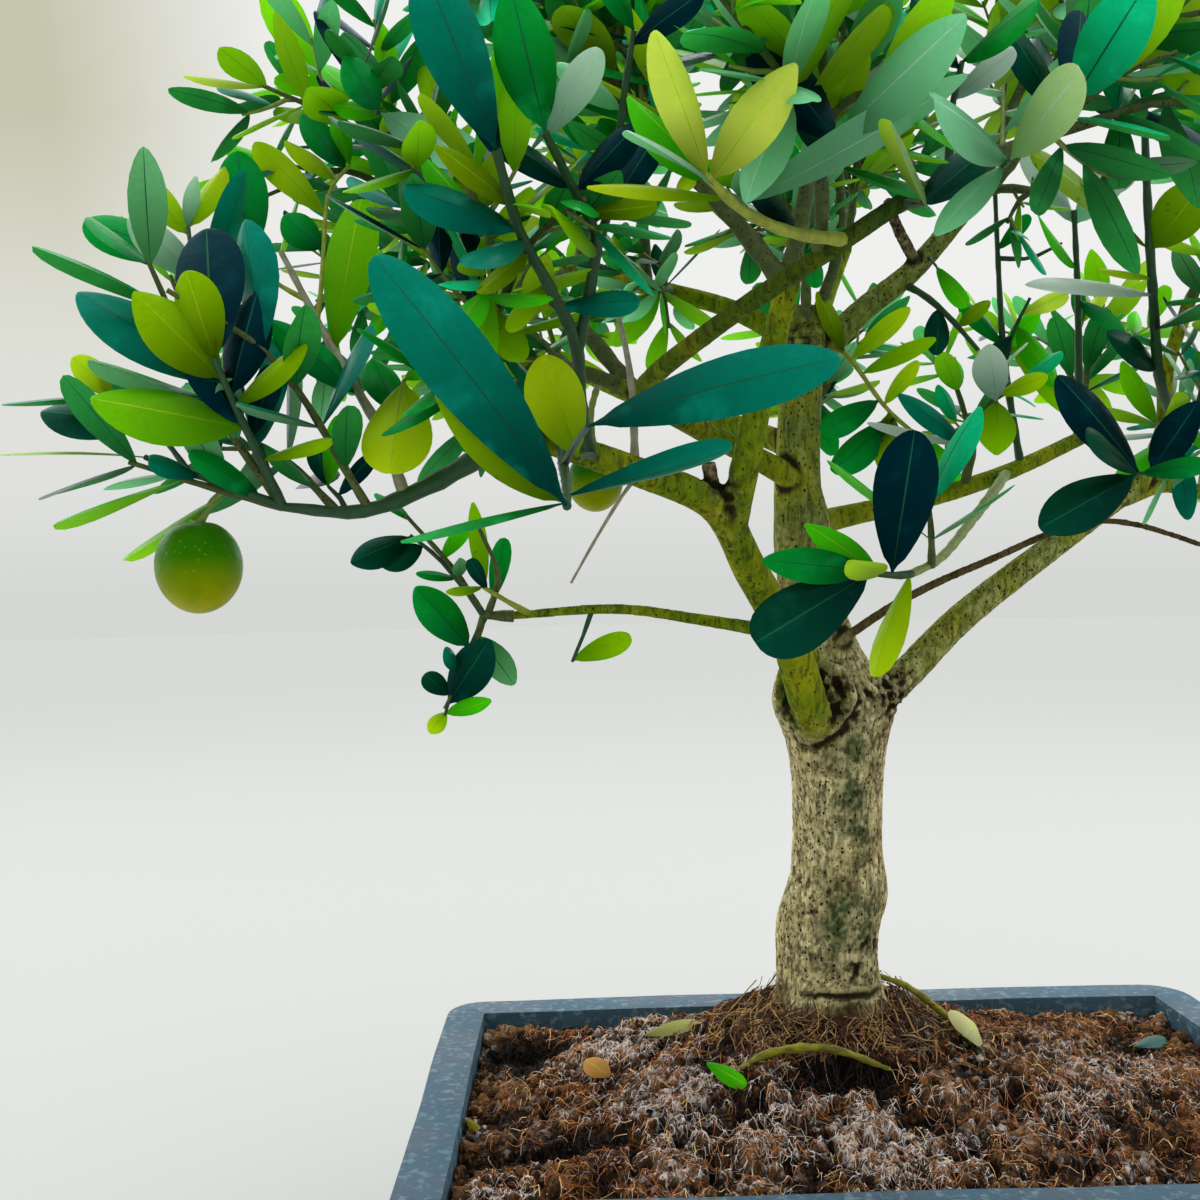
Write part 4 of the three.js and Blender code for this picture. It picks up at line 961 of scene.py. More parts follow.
for part in np.array_split(spots, 40):
    weight = np.exp(-np.maximum(0, distances(part, limb_from, limb_span) - limb_thick) / 1.3)
    weight /= weight.sum(1)[:, None]
    tints.append(weight @ np.array(limb_tints).T)
tints = np.concatenate(tints)
greens = tints[:, 0]
corky, algae = np.zeros((2, len(spots)))
for x, y, z, spread in CORKY_PLACES:
    corky = np.maximum(corky, np.exp(-((spots - (x, y, z)) ** 2).sum(1) / (2 * spread ** 2)))
for x, y, z, wide, tall in ALGAE_PLACES:
    apart = ((spots - (x, y, z)) / (wide, wide, tall)) ** 2
    algae = np.maximum(algae, np.exp(-apart.sum(1) / 2))
labels = ("green", "brown", "leader", "dark", "cork", "algae")
for label, values in zip(labels, (*tints.T, corky, algae)):
    mark(timber, label, values)

normals = np.array([vertex.normal for vertex in timber.data.vertices])
rises = np.zeros(len(spots))
for i, (x, y, z) in enumerate(spots):
    old = 1 - greens[i]
    ridges = noise.noise(Vector((x * 0.34, y * 0.34, z * 0.10))) * (0.08 + 0.06 * old)
    grit = noise.noise(Vector((x * 0.9, y * 0.9, z * 0.7))) * (0.06 + 0.16 * old)
    warts = noise.noise(Vector((x * 0.42, y * 0.42, z * 0.55)))
    turn = math.degrees(math.atan2(y - TRUNK_Y, x - TRUNK_X)) % 360
    facing = math.exp(-((turn - FOOT_FOLD_TURN) / FOOT_FOLD_WIDTH) ** 2)
    bent = z - FOOT_FOLD_Z + 0.5 * noise.noise(Vector((x * 0.2, y * 0.2, 0)))
    folds = (0.55 * math.exp(-((bent - 2) / 1.1) ** 2) - 1.1 * math.exp(-(bent / 0.9) ** 2)) * facing
    rises[i] = ridges + grit + folds * old + (warts * 1.3 - 0.25) * corky[i]
foot = np.clip((spots[:, 2] - TRUNK_Z) / 2, 0, 1)
moved = (spots + normals * (rises * foot)[:, None]) * MM
timber.data.vertices.foreach_set("co", moved.ravel())
shade_smooth(timber, 75)


def creases(piece, rounds, reach):
    """How deep each point lies in the surface round it, from -1 on a ridge to 1 at the reach."""
    mesh = piece.data
    places = np.empty(len(mesh.vertices) * 3)
    mesh.vertices.foreach_get("co", places)
    places = places.reshape(-1, 3)
    ends = np.empty(len(mesh.edges) * 2, np.int32)
    mesh.edges.foreach_get("vertices", ends)
    one, other = ends.reshape(-1, 2).T
    here, there = np.concatenate((one, other)), np.concatenate((other, one))
    touching = np.bincount(here, minlength=len(places))
    smoothed = places.copy()
    for _ in range(rounds):
        smoothed = np.stack([
            np.bincount(here, smoothed[there, axis], len(places)) / touching for axis in range(3)
        ], -1)
    facing = np.array([vertex.normal for vertex in mesh.vertices])
    depths = ((smoothed - places) * facing).sum(1)
    broad = depths
    for _ in range(4 * rounds):
        broad = np.bincount(here, broad[there], len(places)) / touching
    return np.clip((depths - broad) / reach, -1, 1)


# Crease and groove depths, for painted shade in the hollows of the bark and painted highlights on its ridges.
mark(timber, "crease", creases(timber, 14, 0.00030))
mark(timber, "groove", creases(timber, 4, 0.00012))
mark(timber, "earthy", np.exp(-np.maximum(0, spots[:, 2] - TRUNK_Z) / 3.2))

PORE_BROWN = (0.018, 0.010, 0.005)
# Brown of fine grime, and of the painted shade in the bark's grooves.
GRIME_AND_GROOVE_SHADE = (0.06, 0.04, 0.012)
bark = Finish("olive bark", (1.0, 0.88, 0.46), 0.85)
streaks = bark.mottled(520, 9, 0.45, 0.60, (1, 1, 0.5))
clouds = bark.mottled(85, 5, 0.42, 0.6)
fine = bark.mottled(1300, 5, 0.44, 0.62, (1, 1, 0.5))
cracks = bark.mottled(700, 7, 0.57, 0.64, (1, 1, 0.16))
pores = bark.speckled(640, 0.27, 0.55, (1, 1, 0.8))
small_pores = bark.speckled(1250, 0.32, 0.5, (1, 1, 0.7))
blots = bark.speckled(330, 0.2, 0.2, (1, 1, 0.8))
smudges = bark.mottled(120, 9, 0.52, 0.62)
cork_grain = bark.mottled(420, 6, 0.42, 0.58, (1, 1, 0.7))
grime = bark.mottled(330, 10, 0.52, 0.62, (1, 1, 0.8))
warm = bark.mottled(60, 4, 0.48, 0.62)
green_skin = bark.attribute("green")
groove = bark.attribute("groove")
old_bark = bark.math("SUBTRACT", 1.25, green_skin)
cork = bark.times(bark.times(bark.attribute("cork"), 1.5), cork_grain)
damp = bark.times(bark.attribute("algae"), bark.math("ADD", clouds, 0.3))
splashed = bark.times(bark.attribute("earthy"), bark.math("ADD", clouds, 0.6))
bark.over(
    (warm, (0.78, 0.48, 0.16), 0.35),
    (streaks, (0.34, 0.24, 0.08), 0.5),
    (clouds, (0.26, 0.22, 0.08), 0.4),
    (smudges, (0.15, 0.12, 0.035), 0.35),
    (grime, (0.060, 0.040, 0.014), 0.65),
    (fine, GRIME_AND_GROOVE_SHADE, 0.32),
    (damp, (0.075, 0.110, 0.035), 1.1),
    (bark.attribute("leader"), (0.16, 0.17, 0.075), 0.8),
    (green_skin, (0.185, 0.270, 0.002), 1.0),
    (bark.times(green_skin, streaks), (0.050, 0.105, 0.002), 0.4),
    (bark.times(green_skin, clouds), (0.46, 0.44, 0.006), 0.55),
    # Painted shade on the outer limbs, for the shadow of the foliage.
    (bark.attribute("dark"), (0.012, 0.060, 0.006), 0.9),
    (bark.attribute("brown"), (0.10, 0.050, 0.032), 0.9),
    (cracks, (0.06, 0.035, 0.015), 0.5),
    (cork, (0.03, 0.018, 0.01), 1.0),
    (bark.times(bark.times(pores, 5), old_bark), PORE_BROWN, 0.95),
    (bark.times(bark.times(small_pores, 4), old_bark), (0.04, 0.024, 0.010), 0.75),
    (bark.times(bark.times(blots, 4), old_bark), PORE_BROWN, 0.9),
    # Painted highlight on the ridges of the old bark, and painted shade in its grooves.
    (bark.times(bark.times(groove, -1), old_bark), (1.0, 0.88, 0.50), 0.22),
    (bark.times(groove, old_bark), GRIME_AND_GROOVE_SHADE, 0.3),
    # Painted shade in the deep creases.
    (bark.times(bark.attribute("crease"), 1.2), (0.024, 0.017, 0.005), 0.85),
    (splashed, (0.085, 0.032, 0.012), 0.9),
)
bark.relief((streaks, 0.0004), (fine, 0.00016), (pores, 0.0006), (cracks, -0.0005), (cork, -0.0012))
bark.give("Specular IOR Level", 0.12)
timber.data.materials.append(bark.done())
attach(timber, "root")
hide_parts("trunk", *[name for name, *_ in BOUGHS])


# Roots that show: two thicker ones over the soil, green where the light reaches them, and a
# mat of thin straw coloured roots that runs from the trunk's foot down over the mound.
SHOWN_ROOTS = [
    ("surface_root_front", 1.25, [(-43, -14, 80), (-31, -14, 86.5), (-14, -17, 88.5), (4, -17, 82)]),
    ("surface_root_right", 1.15, [(6, 12, 101), (16, 10, 97.5), (27, 11, 89), (36, 7, 80)]),
]
MAT_ROOTS = 460
MAT_STEPS = 8
root_skin = Finish("green root skin", (0.25, 0.235, 0.004), 0.75)
root_streaks = root_skin.mottled(500, 4, 0.4, 0.65, (0.4, 1, 1))
root_skin.over((root_streaks, (0.075, 0.050, 0.010), 0.8))
root_skin.relief((root_streaks, 0.0003))
root_material = root_skin.done()
for name, radius, points in SHOWN_ROOTS:
    way = Way(points)
    shares = np.linspace(0, 1, 40)
    knots = 1 + 0.12 * np.sin(shares * 31) + 0.08 * np.sin(shares * 71)
    taper = 0.45 + 0.55 * np.sin(math.pi * (0.12 + 0.8 * shares))
    root_points, root_faces = tube(way.at(shares), radius * taper * knots, 12)
    root = plain_mesh(name + "_bark", root_points * MM, root_faces)
    root.data.materials.append(root_material)
    shade_smooth(root, 60)
    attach(root, "root")
    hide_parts(name)


def in_front_hollow(x, y):
    """Whether a place lies in the hollow under the front root, which the mat leaves bare."""
    return y < -0.0165 and abs(x + 0.010) < 0.016


mat = Heap()
for number in range(MAT_ROOTS):
    turn = random.uniform(0, 2 * math.pi)
    length = random.uniform(0.006, 0.026)
    start = random.uniform(0.016, 0.024)
    bend = random.uniform(-0.9, 0.9)
    radius = random.choice([0.00008, 0.00011, 0.00015, 0.00024])
    climb = random.choice([0, 0, 0.003, 0.006])
    line = []
    for step in range(MAT_STEPS + 1):
        share = step / MAT_STEPS
        away = start + length * share
        aim = turn + bend * share + 0.12 * math.sin(9 * share + number)
        x = TRUNK_FOOT.x + away * math.cos(aim)
        y = TRUNK_FOOT.y + away * math.sin(aim)
        if not on_soil(x, y, 0.004) or in_front_hollow(x, y):
            break
        clear = 0.0006 + 0.0016 * math.sin(math.pi * share) * random.uniform(0.2, 1)
        line.append((x, y, soil_height(x, y) + clear + climb * max(0, 1 - 3 * share) ** 1.5))
    if len(line) < 4:
        continue
    line[-1] = (*line[-1][:2], line[-1][2] - 0.002)
    radii = np.linspace(radius, radius * 0.5, len(line))
    mat.add_tube(line, radii, 5, int(random.random() < 0.66))
mat_piece = mat.piece("root_mat", [
    Finish("straw root", (0.46, 0.29, 0.10), 0.85).done(),
    Finish("brown root", (0.055, 0.020, 0.009), 0.9).done(),
])
shade_smooth(mat_piece, 60)
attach(mat_piece, "root")


# Crown: each mass of foliage grows inside its own space. One stem leaves its bough, shoots fan
# out from it to the rim of the space, finer twigs spring from the shoots, and opposite pairs of
# leaves stand on all of them, each pair turned a right angle from the last. A mass has its parent,
# its seed, its space's middle and half sizes, its stem, and any leading shoots of its own.
LEAF_WIDTH, LEAF_WIDEST, LEAF_OFFSET = 0.43, 0.52, 0.15
SHOOT_RADIUS, SHOOT_TIP, LEAF_PITCH, TIP_GAP = 1.15, 0.75, 11, 2
LEAF_SPREAD, TIP_SPREAD, LIMB_GAP, LEAF_ROOM = 50, 34, 2, 0.8
STEM_RADIUS = SHOOT_RADIUS * 1.6
STEM_STEP = 8
LEAF_SIZES = (1, 0.82, 0.66)
LEAF_ROOT_SHARE = 0.16
SPREAD_SHARES = np.array((0.2, 0.35, 0.5, 0.65, 0.8, 1.0))
CROWN_MIDDLE = np.array((-10.0, 5, 300))
CELL_GAP = 0.5
LIMB_REACH = 45
GOLDEN_TURN = math.pi * (3 - math.sqrt(5))
UP = np.array((0.0, 0, 1))
USUAL_MASS = dict(shoots=4, pairs=3, leaf=35, skin=0, leads=[])
MASSES = {
    "left_tip": dict(
        parent="bough_left", seed=11, shoots=2, pairs=2, leaf=34, skin=2, at=(-170, -80, 280),
        size=(62, 50, 64),
        stem=[(-98, -72, 264), (-119, -78, 251), (-136, -80, 244.5), (-155, -79, 246)],
        leads=[([(-155, -79, 246), (-168, -85, 268), (-182, -91, 303)], 4, 33, 20),
               ([(-155, -79, 246), (-172, -81, 251), (-190, -83, 257)], 2, 36, 60),
               ([(-168, -85, 268), (-176, -70, 285), (-186, -62, 306)], 2, 30, 0)]),
    "left_low": dict(
        parent="bough_left_low", seed=12, shoots=0, pairs=2, leaf=24, at=(-127, -14, 222),
        size=(44, 36, 50),
        stem=[(-104, -8, 217), (-111, -8, 217.4), (-114, -8.5, 217.5)],
        leads=[([(-113, -8, 217.5), (-117, -8, 205), (-125, -10, 190)], 4, 21, 40),
               ([(-113, -8, 217.5), (-121, -12, 231), (-134, -18, 247)], 3, 25, 0),
               ([(-112, -8, 217), (-108, -14, 229), (-113, -18, 243)], 2, 23, 70)]),
    "left_mid": dict(
        parent="bough_left_mid", seed=13, leaf=32, at=(-105, -24, 284), size=(54, 54, 50),
        stem=[(-68, -37, 279), (-82, -38, 284), (-100, -36, 289)]),
    "left_upper": dict(
        parent="bough_left_mid", seed=14, leaf=34, at=(-142, -42, 344), size=(60, 58, 58),
        stem=[(-69, -37, 280), (-84, -30, 300), (-108, -28, 322), (-134, -36, 336)]),
    "left_back": dict(
        parent="bough_left_high", seed=15, leaf=34, at=(-146, 44, 316), size=(62, 60, 54),
        stem=[(-84, 46, 332), (-104, 50, 330), (-130, 48, 324)]),
    "front_left": dict(
        parent="bough_left", seed=16, shoots=3, leaf=36, at=(-96, -110, 298), size=(58, 62, 60),
        stem=[(-97, -71, 263), (-104, -88, 271), (-104, -106, 284)],
        leads=[([(-104, -100, 280), (-100, -128, 292), (-104, -140, 304)], 2, 44, 40)]),
    "front_centre": dict(
        parent="bough_front_crossing", seed=17, leaf=36, at=(-34, -122, 330), size=(56, 56, 56),
        stem=[(-30, -106, 296), (-32, -120, 308), (-35, -130, 318)],
        leads=[([(-34, -128, 315), (-44, -142, 322), (-56, -150, 333)], 2, 40, 30)]),
    "front_right": dict(
        parent="bough_front_crossing", seed=18, leaf=38, at=(44, -100, 330), size=(60, 60, 56),
        stem=[(-15, -114, 305), (4, -114, 315), (28, -108, 324)]),
    "front_upper": dict(
        parent="bough_front_upright", seed=19, at=(-20, -60, 372), size=(56, 56, 56),
        stem=[(-28, -55, 304), (-24, -60, 326), (-20, -66, 350)]),
    "front_left_upper": dict(
        parent="bough_front_upright", seed=20, at=(-86, -66, 364), size=(58, 58, 56),
        stem=[(-29, -55, 303), (-44, -60, 320), (-64, -68, 338), (-76, -72, 350)]),
    "right_front_low": dict(
        parent="bough_right_back", seed=21, shoots=0, pairs=2, leaf=36, skin=1, at=(4, -48, 238),
        size=(54, 46, 40),
        stem=[(62, 44, 261), (52, 26, 254), (36, 0, 243), (16, -34, 231), (4, -50, 227)],
        leads=[([(4, -50, 227), (-1, -53, 226.5), (-7, -56, 227)], 2, 36, 12),
               ([(12, -41, 229), (10, -48, 238), (8, -53, 247)], 1, 36, 70)]),
    "right_front": dict(
        parent="bough_right_rising", seed=22, leaf=34, at=(102, -36, 284), size=(58, 58, 50),
        stem=[(105, 19, 274), (102, 2, 272), (98, -16, 270), (94, -32, 272)],
        leads=[([(99, -12, 270), (88, -26, 262), (80, -34, 254)], 3, 33, 15)]),
    "right_mid": dict(
        parent="bough_right_back", seed=34, shoots=3, leaf=27, at=(44, 28, 286), size=(46, 40, 38),
        stem=[(46, 40, 256), (48, 36, 268), (46, 31, 280)]),
    "right_outer": dict(
        parent="bough_right_outer", seed=23, leaf=34, at=(146, 32, 286), size=(60, 60, 54),
        stem=[(136, 32, 255), (146, 33, 260), (156, 32, 270)]),
    "right_high": dict(
        parent="bough_right_rising", seed=24, at=(120, -4, 356), size=(60, 60, 58),
        stem=[(107, 8, 308), (112, 2, 322), (122, -4, 340)]),
    "right_back": dict(
        parent="bough_right_back", seed=25, leaf=34, at=(100, 90, 312), size=(60, 60, 54),
        stem=[(91, 55, 273), (98, 66, 284), (104, 80, 297)]),
    "right_upper": dict(
        parent="bough_right_high", seed=26, at=(62, 10, 396), size=(58, 56, 56),
        stem=[(49, 26, 351), (54, 22, 366), (58, 15, 380)]),
    "front_high": dict(
        parent="bough_right_high", seed=27, at=(52, -58, 380), size=(56, 54, 54),
        stem=[(47, 26, 349), (50, 4, 352), (52, -22, 360), (54, -44, 368)]),
    "back": dict(
        parent="bough_back", seed=28, at=(10, 112, 310), size=(60, 60, 54),
        stem=[(4, 88, 281), (8, 102, 290), (12, 116, 299)]),
    "back_left": dict(
        parent="bough_back_left", seed=29, at=(-88, 100, 326), size=(60, 60, 56),
        stem=[(-85, 74, 304), (-90, 86, 311), (-94, 99, 318)]),
    "back_high": dict(
        parent="bough_back_high", seed=30, at=(24, 76, 386), size=(58, 58, 56),
        stem=[(13, 64, 343), (16, 70, 356), (20, 78, 370)]),
    "back_left_high": dict(
        parent="bough_left_high", seed=31, at=(-72, 56, 388), size=(58, 58, 56),
        stem=[(-83, 46, 332), (-80, 50, 350), (-78, 54, 370)]),
    "left_high": dict(
        parent="bough_left_high", seed=32, at=(-80, -12, 404), size=(56, 54, 54),
        stem=[(-60, 38, 325), (-62, 24, 348), (-68, 8, 372), (-74, -2, 386)]),
    "top": dict(
        parent="trunk", seed=33, leaf=36, at=(-8, 10, 418), size=(54, 54, 48),
        stem=[(-10, 14, 304), (-2, 4, 330), (-4, 0, 362), (-8, 4, 396)]),
}
MASSES = {name: {**USUAL_MASS, **mass} for name, mass in MASSES.items()}
PARENT_TIP = {"trunk": 3.0} | {name: tip for name, root, tip, collar, points in BOUGHS}


def seeded(seed):
    """Numbers from 0 to 1 that follow from a seed, as in the solids' own rule."""
    state = seed

    def draw():
        nonlocal state
        state = (state + 0x6D2B79F5) & 0xFFFFFFFF
        mixed = ((state ^ (state >> 15)) * (1 | state)) & 0xFFFFFFFF
        mixed ^= (mixed + ((mixed ^ (mixed >> 7)) * (61 | mixed) & 0xFFFFFFFF)) & 0xFFFFFFFF
        return (mixed ^ (mixed >> 14)) / 4294967296

    return draw


def unit(v):
    return v / np.linalg.norm(v)


def turned(v, axis, angle):
    """A vector turned about an axis of length 1."""
    flat = v * math.cos(angle) + np.cross(axis, v) * math.sin(angle)
    return flat + axis * (axis @ v) * (1 - math.cos(angle))


def level_beside(along):
    """A level direction at a right angle to a twig, or along x where the twig is upright."""
    level = np.cross(UP, along)
    return np.array((1.0, 0, 0)) if level @ level < 0.01 else unit(level)


blocks = [("trunk", start, end, max(low, high) + 2) for start, end, low, high in trunk_steps()]
blocks += [(name, *ends, radius) for name, *ends, radius, share, reached in bough_steps(STEM_STEP)]
for name, mass in MASSES.items():
    way = Way(mass["stem"])
    count = math.ceil(way.length / STEM_STEP)
    for step in range(count):
        blocks.append((name, way.at(step / count), way.at((step + 1) / count), STEM_RADIUS))
block_owner, block_from, block_to, block_radius = (np.array(column) for column in zip(*blocks))
block_span = block_to - block_from


class Space:
    """The room of one mass: its ellipsoid, up to the planes that it shares with its neighbours."""

    def __init__(self, name, mass):
        self.middle, self.size = np.array(mass["at"], float), np.array(mass["size"], float)
        self.ways, self.borders = [], []
        own = self.size.mean()
        for other in MASSES.values():
            to_other = np.subtract(other["at"], mass["at"])
            apart = np.linalg.norm(to_other)
            if apart > 0:
                theirs = np.mean(other["size"])
                self.ways.append(to_other / apart)
                self.borders.append((apart ** 2 + own ** 2 - theirs ** 2) / (2 * apart) - CELL_GAP)
        self.ways, self.borders = np.array(self.ways), np.array(self.borders)
        near = np.linalg.norm(block_from - self.middle, axis=1) < self.size.max() + LIMB_REACH
        limbs = near & (block_owner != name)
        self.limb_from, self.limb_span = block_from[limbs], block_span[limbs]
        self.limb_radius = block_radius[limbs]

    def holds(self, points, gap=0.0):
        away = np.atleast_2d(points) - self.middle
        if (((away / self.size) ** 2).sum(1) > 1).any():
            return False
        return bool((away @ self.ways.T < self.borders - gap).all())

    def clear(self, points, gap):
        """Whether points keep a gap to every limb and stem but the mass's own."""
        away = distances(points, self.limb_from, self.limb_span)
        return bool((away > self.limb_radius + gap).all())


def outline_at(share):
    """The share of a leaf's half width at a share of its length."""
    return np.where(share < LEAF_WIDEST, share / LEAF_WIDEST, (1 - share) / (1 - LEAF_WIDEST))


class Leaf:
    """One leaf: where it springs from, the way it points, the way its face looks, its length."""

    def __init__(self, root, way, face, length, tone=None, width=LEAF_WIDTH):
        self.root, self.way, self.face, self.length = root, way, face, length
        self.across = np.cross(way, face)
        self.tone, self.width = tone, width

    def resized(self, size):
        return Leaf(self.root, self.way, self.face, self.length * size, self.tone, self.width)

    def half_width(self, share):
        return self.width / 2 * self.length * outline_at(share)

    def spread(self):
        """Points over the leaf beyond its root, on its middle line and both edges."""
        line = self.root + np.outer(SPREAD_SHARES * self.length, self.way)
        side = np.outer(self.half_width(SPREAD_SHARES), self.across)
        return np.vstack((line, line - side, line + side))

    def corners(self):
        middle = self.root + self.way * LEAF_WIDEST * self.length
        side = self.across * LEAF_WIDTH / 2 * self.length
        return np.array((self.root + self.way * self.length, middle + side, middle - side))

    def holds(self, points, gap):
        """Whether the leaf holds any of the points, past its own root."""
        away = points - self.root
        share = away @ self.way / self.length
        beside = np.abs(away @ self.across) < self.half_width(share) + gap
        level = np.abs(away @ self.face) < gap
        return bool(((share > LEAF_ROOT_SHARE) & (share < 1) & beside & level).any())


class Kept:
    """The leaves that one mass has so far, for quick tests against a new one."""

    def __init__(self):
        self.leaves = []
        self.sides, self.sizes, self.points = np.zeros((0, 4, 3)), np.zeros((0, 2)), np.zeros((0, 3))

    def add(self, leaf):
        self.leaves.append(leaf)
        sides = [leaf.root, leaf.way, leaf.face, leaf.across]
        self.sides = np.concatenate((self.sides, [sides]))
        self.sizes = np.vstack((self.sizes, (leaf.length, leaf.width * leaf.length)))
        self.points = np.vstack((self.points, leaf.spread()))

    def meets(self, leaf, gap):
        """Whether the new leaf passes within a gap of one that is there, or the other way round."""
        if not self.leaves:
            return False
        roots, ways, faces, acrosses = np.moveaxis(self.sides, 1, 0)
        lengths, widths = self.sizes.T
        away = leaf.spread()[:, None] - roots
        share = (away * ways).sum(2) / lengths
        beside = np.abs((away * acrosses).sum(2)) < widths / 2 * outline_at(share) + gap
        level = np.abs((away * faces).sum(2)) < gap
        if ((share > LEAF_ROOT_SHARE) & (share < 1) & beside & level).any():
            return True
        return leaf.holds(self.points, gap)


def leaf_from(middle, along, around, spread, lift, length):
    """A leaf that leaves its twig at the angle spread and lifts a little towards the light."""
    turn = math.radians(spread)
    way = unit(along * math.cos(turn) + around * math.sin(turn) + UP * lift)
    face = along * 0.6 + UP * 0.8
    face = face - way * (face @ way)
    if face @ face < 0.01:
        face = around - way * (around @ way)
    return Leaf(middle + around * LEAF_OFFSET, way, unit(face), length)


def leaf_pairs(way, pairs, length, roll, draw, pitch=LEAF_PITCH, first=0):
    """Opposite pairs of leaves back from a twig's tip, the first of them the tip's own pair."""
    for i in range(first, first + pairs):
        share = max(0.05, 1 - (TIP_GAP + i * pitch) / way.length)
        root, along = way.at(share), way.along(share)
        roll_here = math.radians(roll + 90 * i + 24 * (draw() - 0.5))
        around = turned(level_beside(along), along, roll_here)
        for side in (1, -1):
            spread = (TIP_SPREAD if i == 0 else LEAF_SPREAD) + 20 * (draw() - 0.5)
            lift = 0.28 * (draw() - 0.35)
            size = length * (0.82 + 0.34 * draw()) * (0.88 if i == 0 else 1)
            yield leaf_from(root, along, around * side, spread, lift, size)


def fan(mass, space, draw):
    """Shoots from the stem to points spread evenly over the outer side of the mass's space."""
    stem = Way(mass["stem"])
    outward = unit(space.middle - CROWN_MIDDLE)
    for i in range(mass["shoots"]):
        level = 1 - 2 * (i + 0.5) / mass["shoots"]
        flat = math.sqrt(1 - level ** 2)
        turn = i * GOLDEN_TURN + mass["seed"] + 0.6 * draw()
        way = np.array((flat * math.cos(turn), flat * math.sin(turn), level))
        way = unit(way + outward * 0.55 + UP * 0.15)
        start = stem.at(0.55 + 0.43 * (i + draw()) / mass["shoots"])
        bend, roll, outmost = 0.1 + 0.1 * draw(), 180 * draw(), 0.6 + 0.1 * draw()
        for reach in np.arange(outmost, 0.1, -0.06):
            tip = space.middle + way * space.size * reach
            if space.holds(tip + way * LEAF_ROOM * mass["leaf"]):
                middle = (start + tip) / 2 + UP * bend * np.linalg.norm(tip - start)
                yield [start, middle, tip], mass["pairs"], mass["leaf"], roll
                break


def twig_clear(way, space):
    shares = np.linspace(0, 1, math.ceil(way.length / 2) + 1)
    points = way.at(shares)
    return space.clear(points, SHOOT_RADIUS + 0.5) and space.holds(points[shares > 0.5], SHOOT_RADIUS)


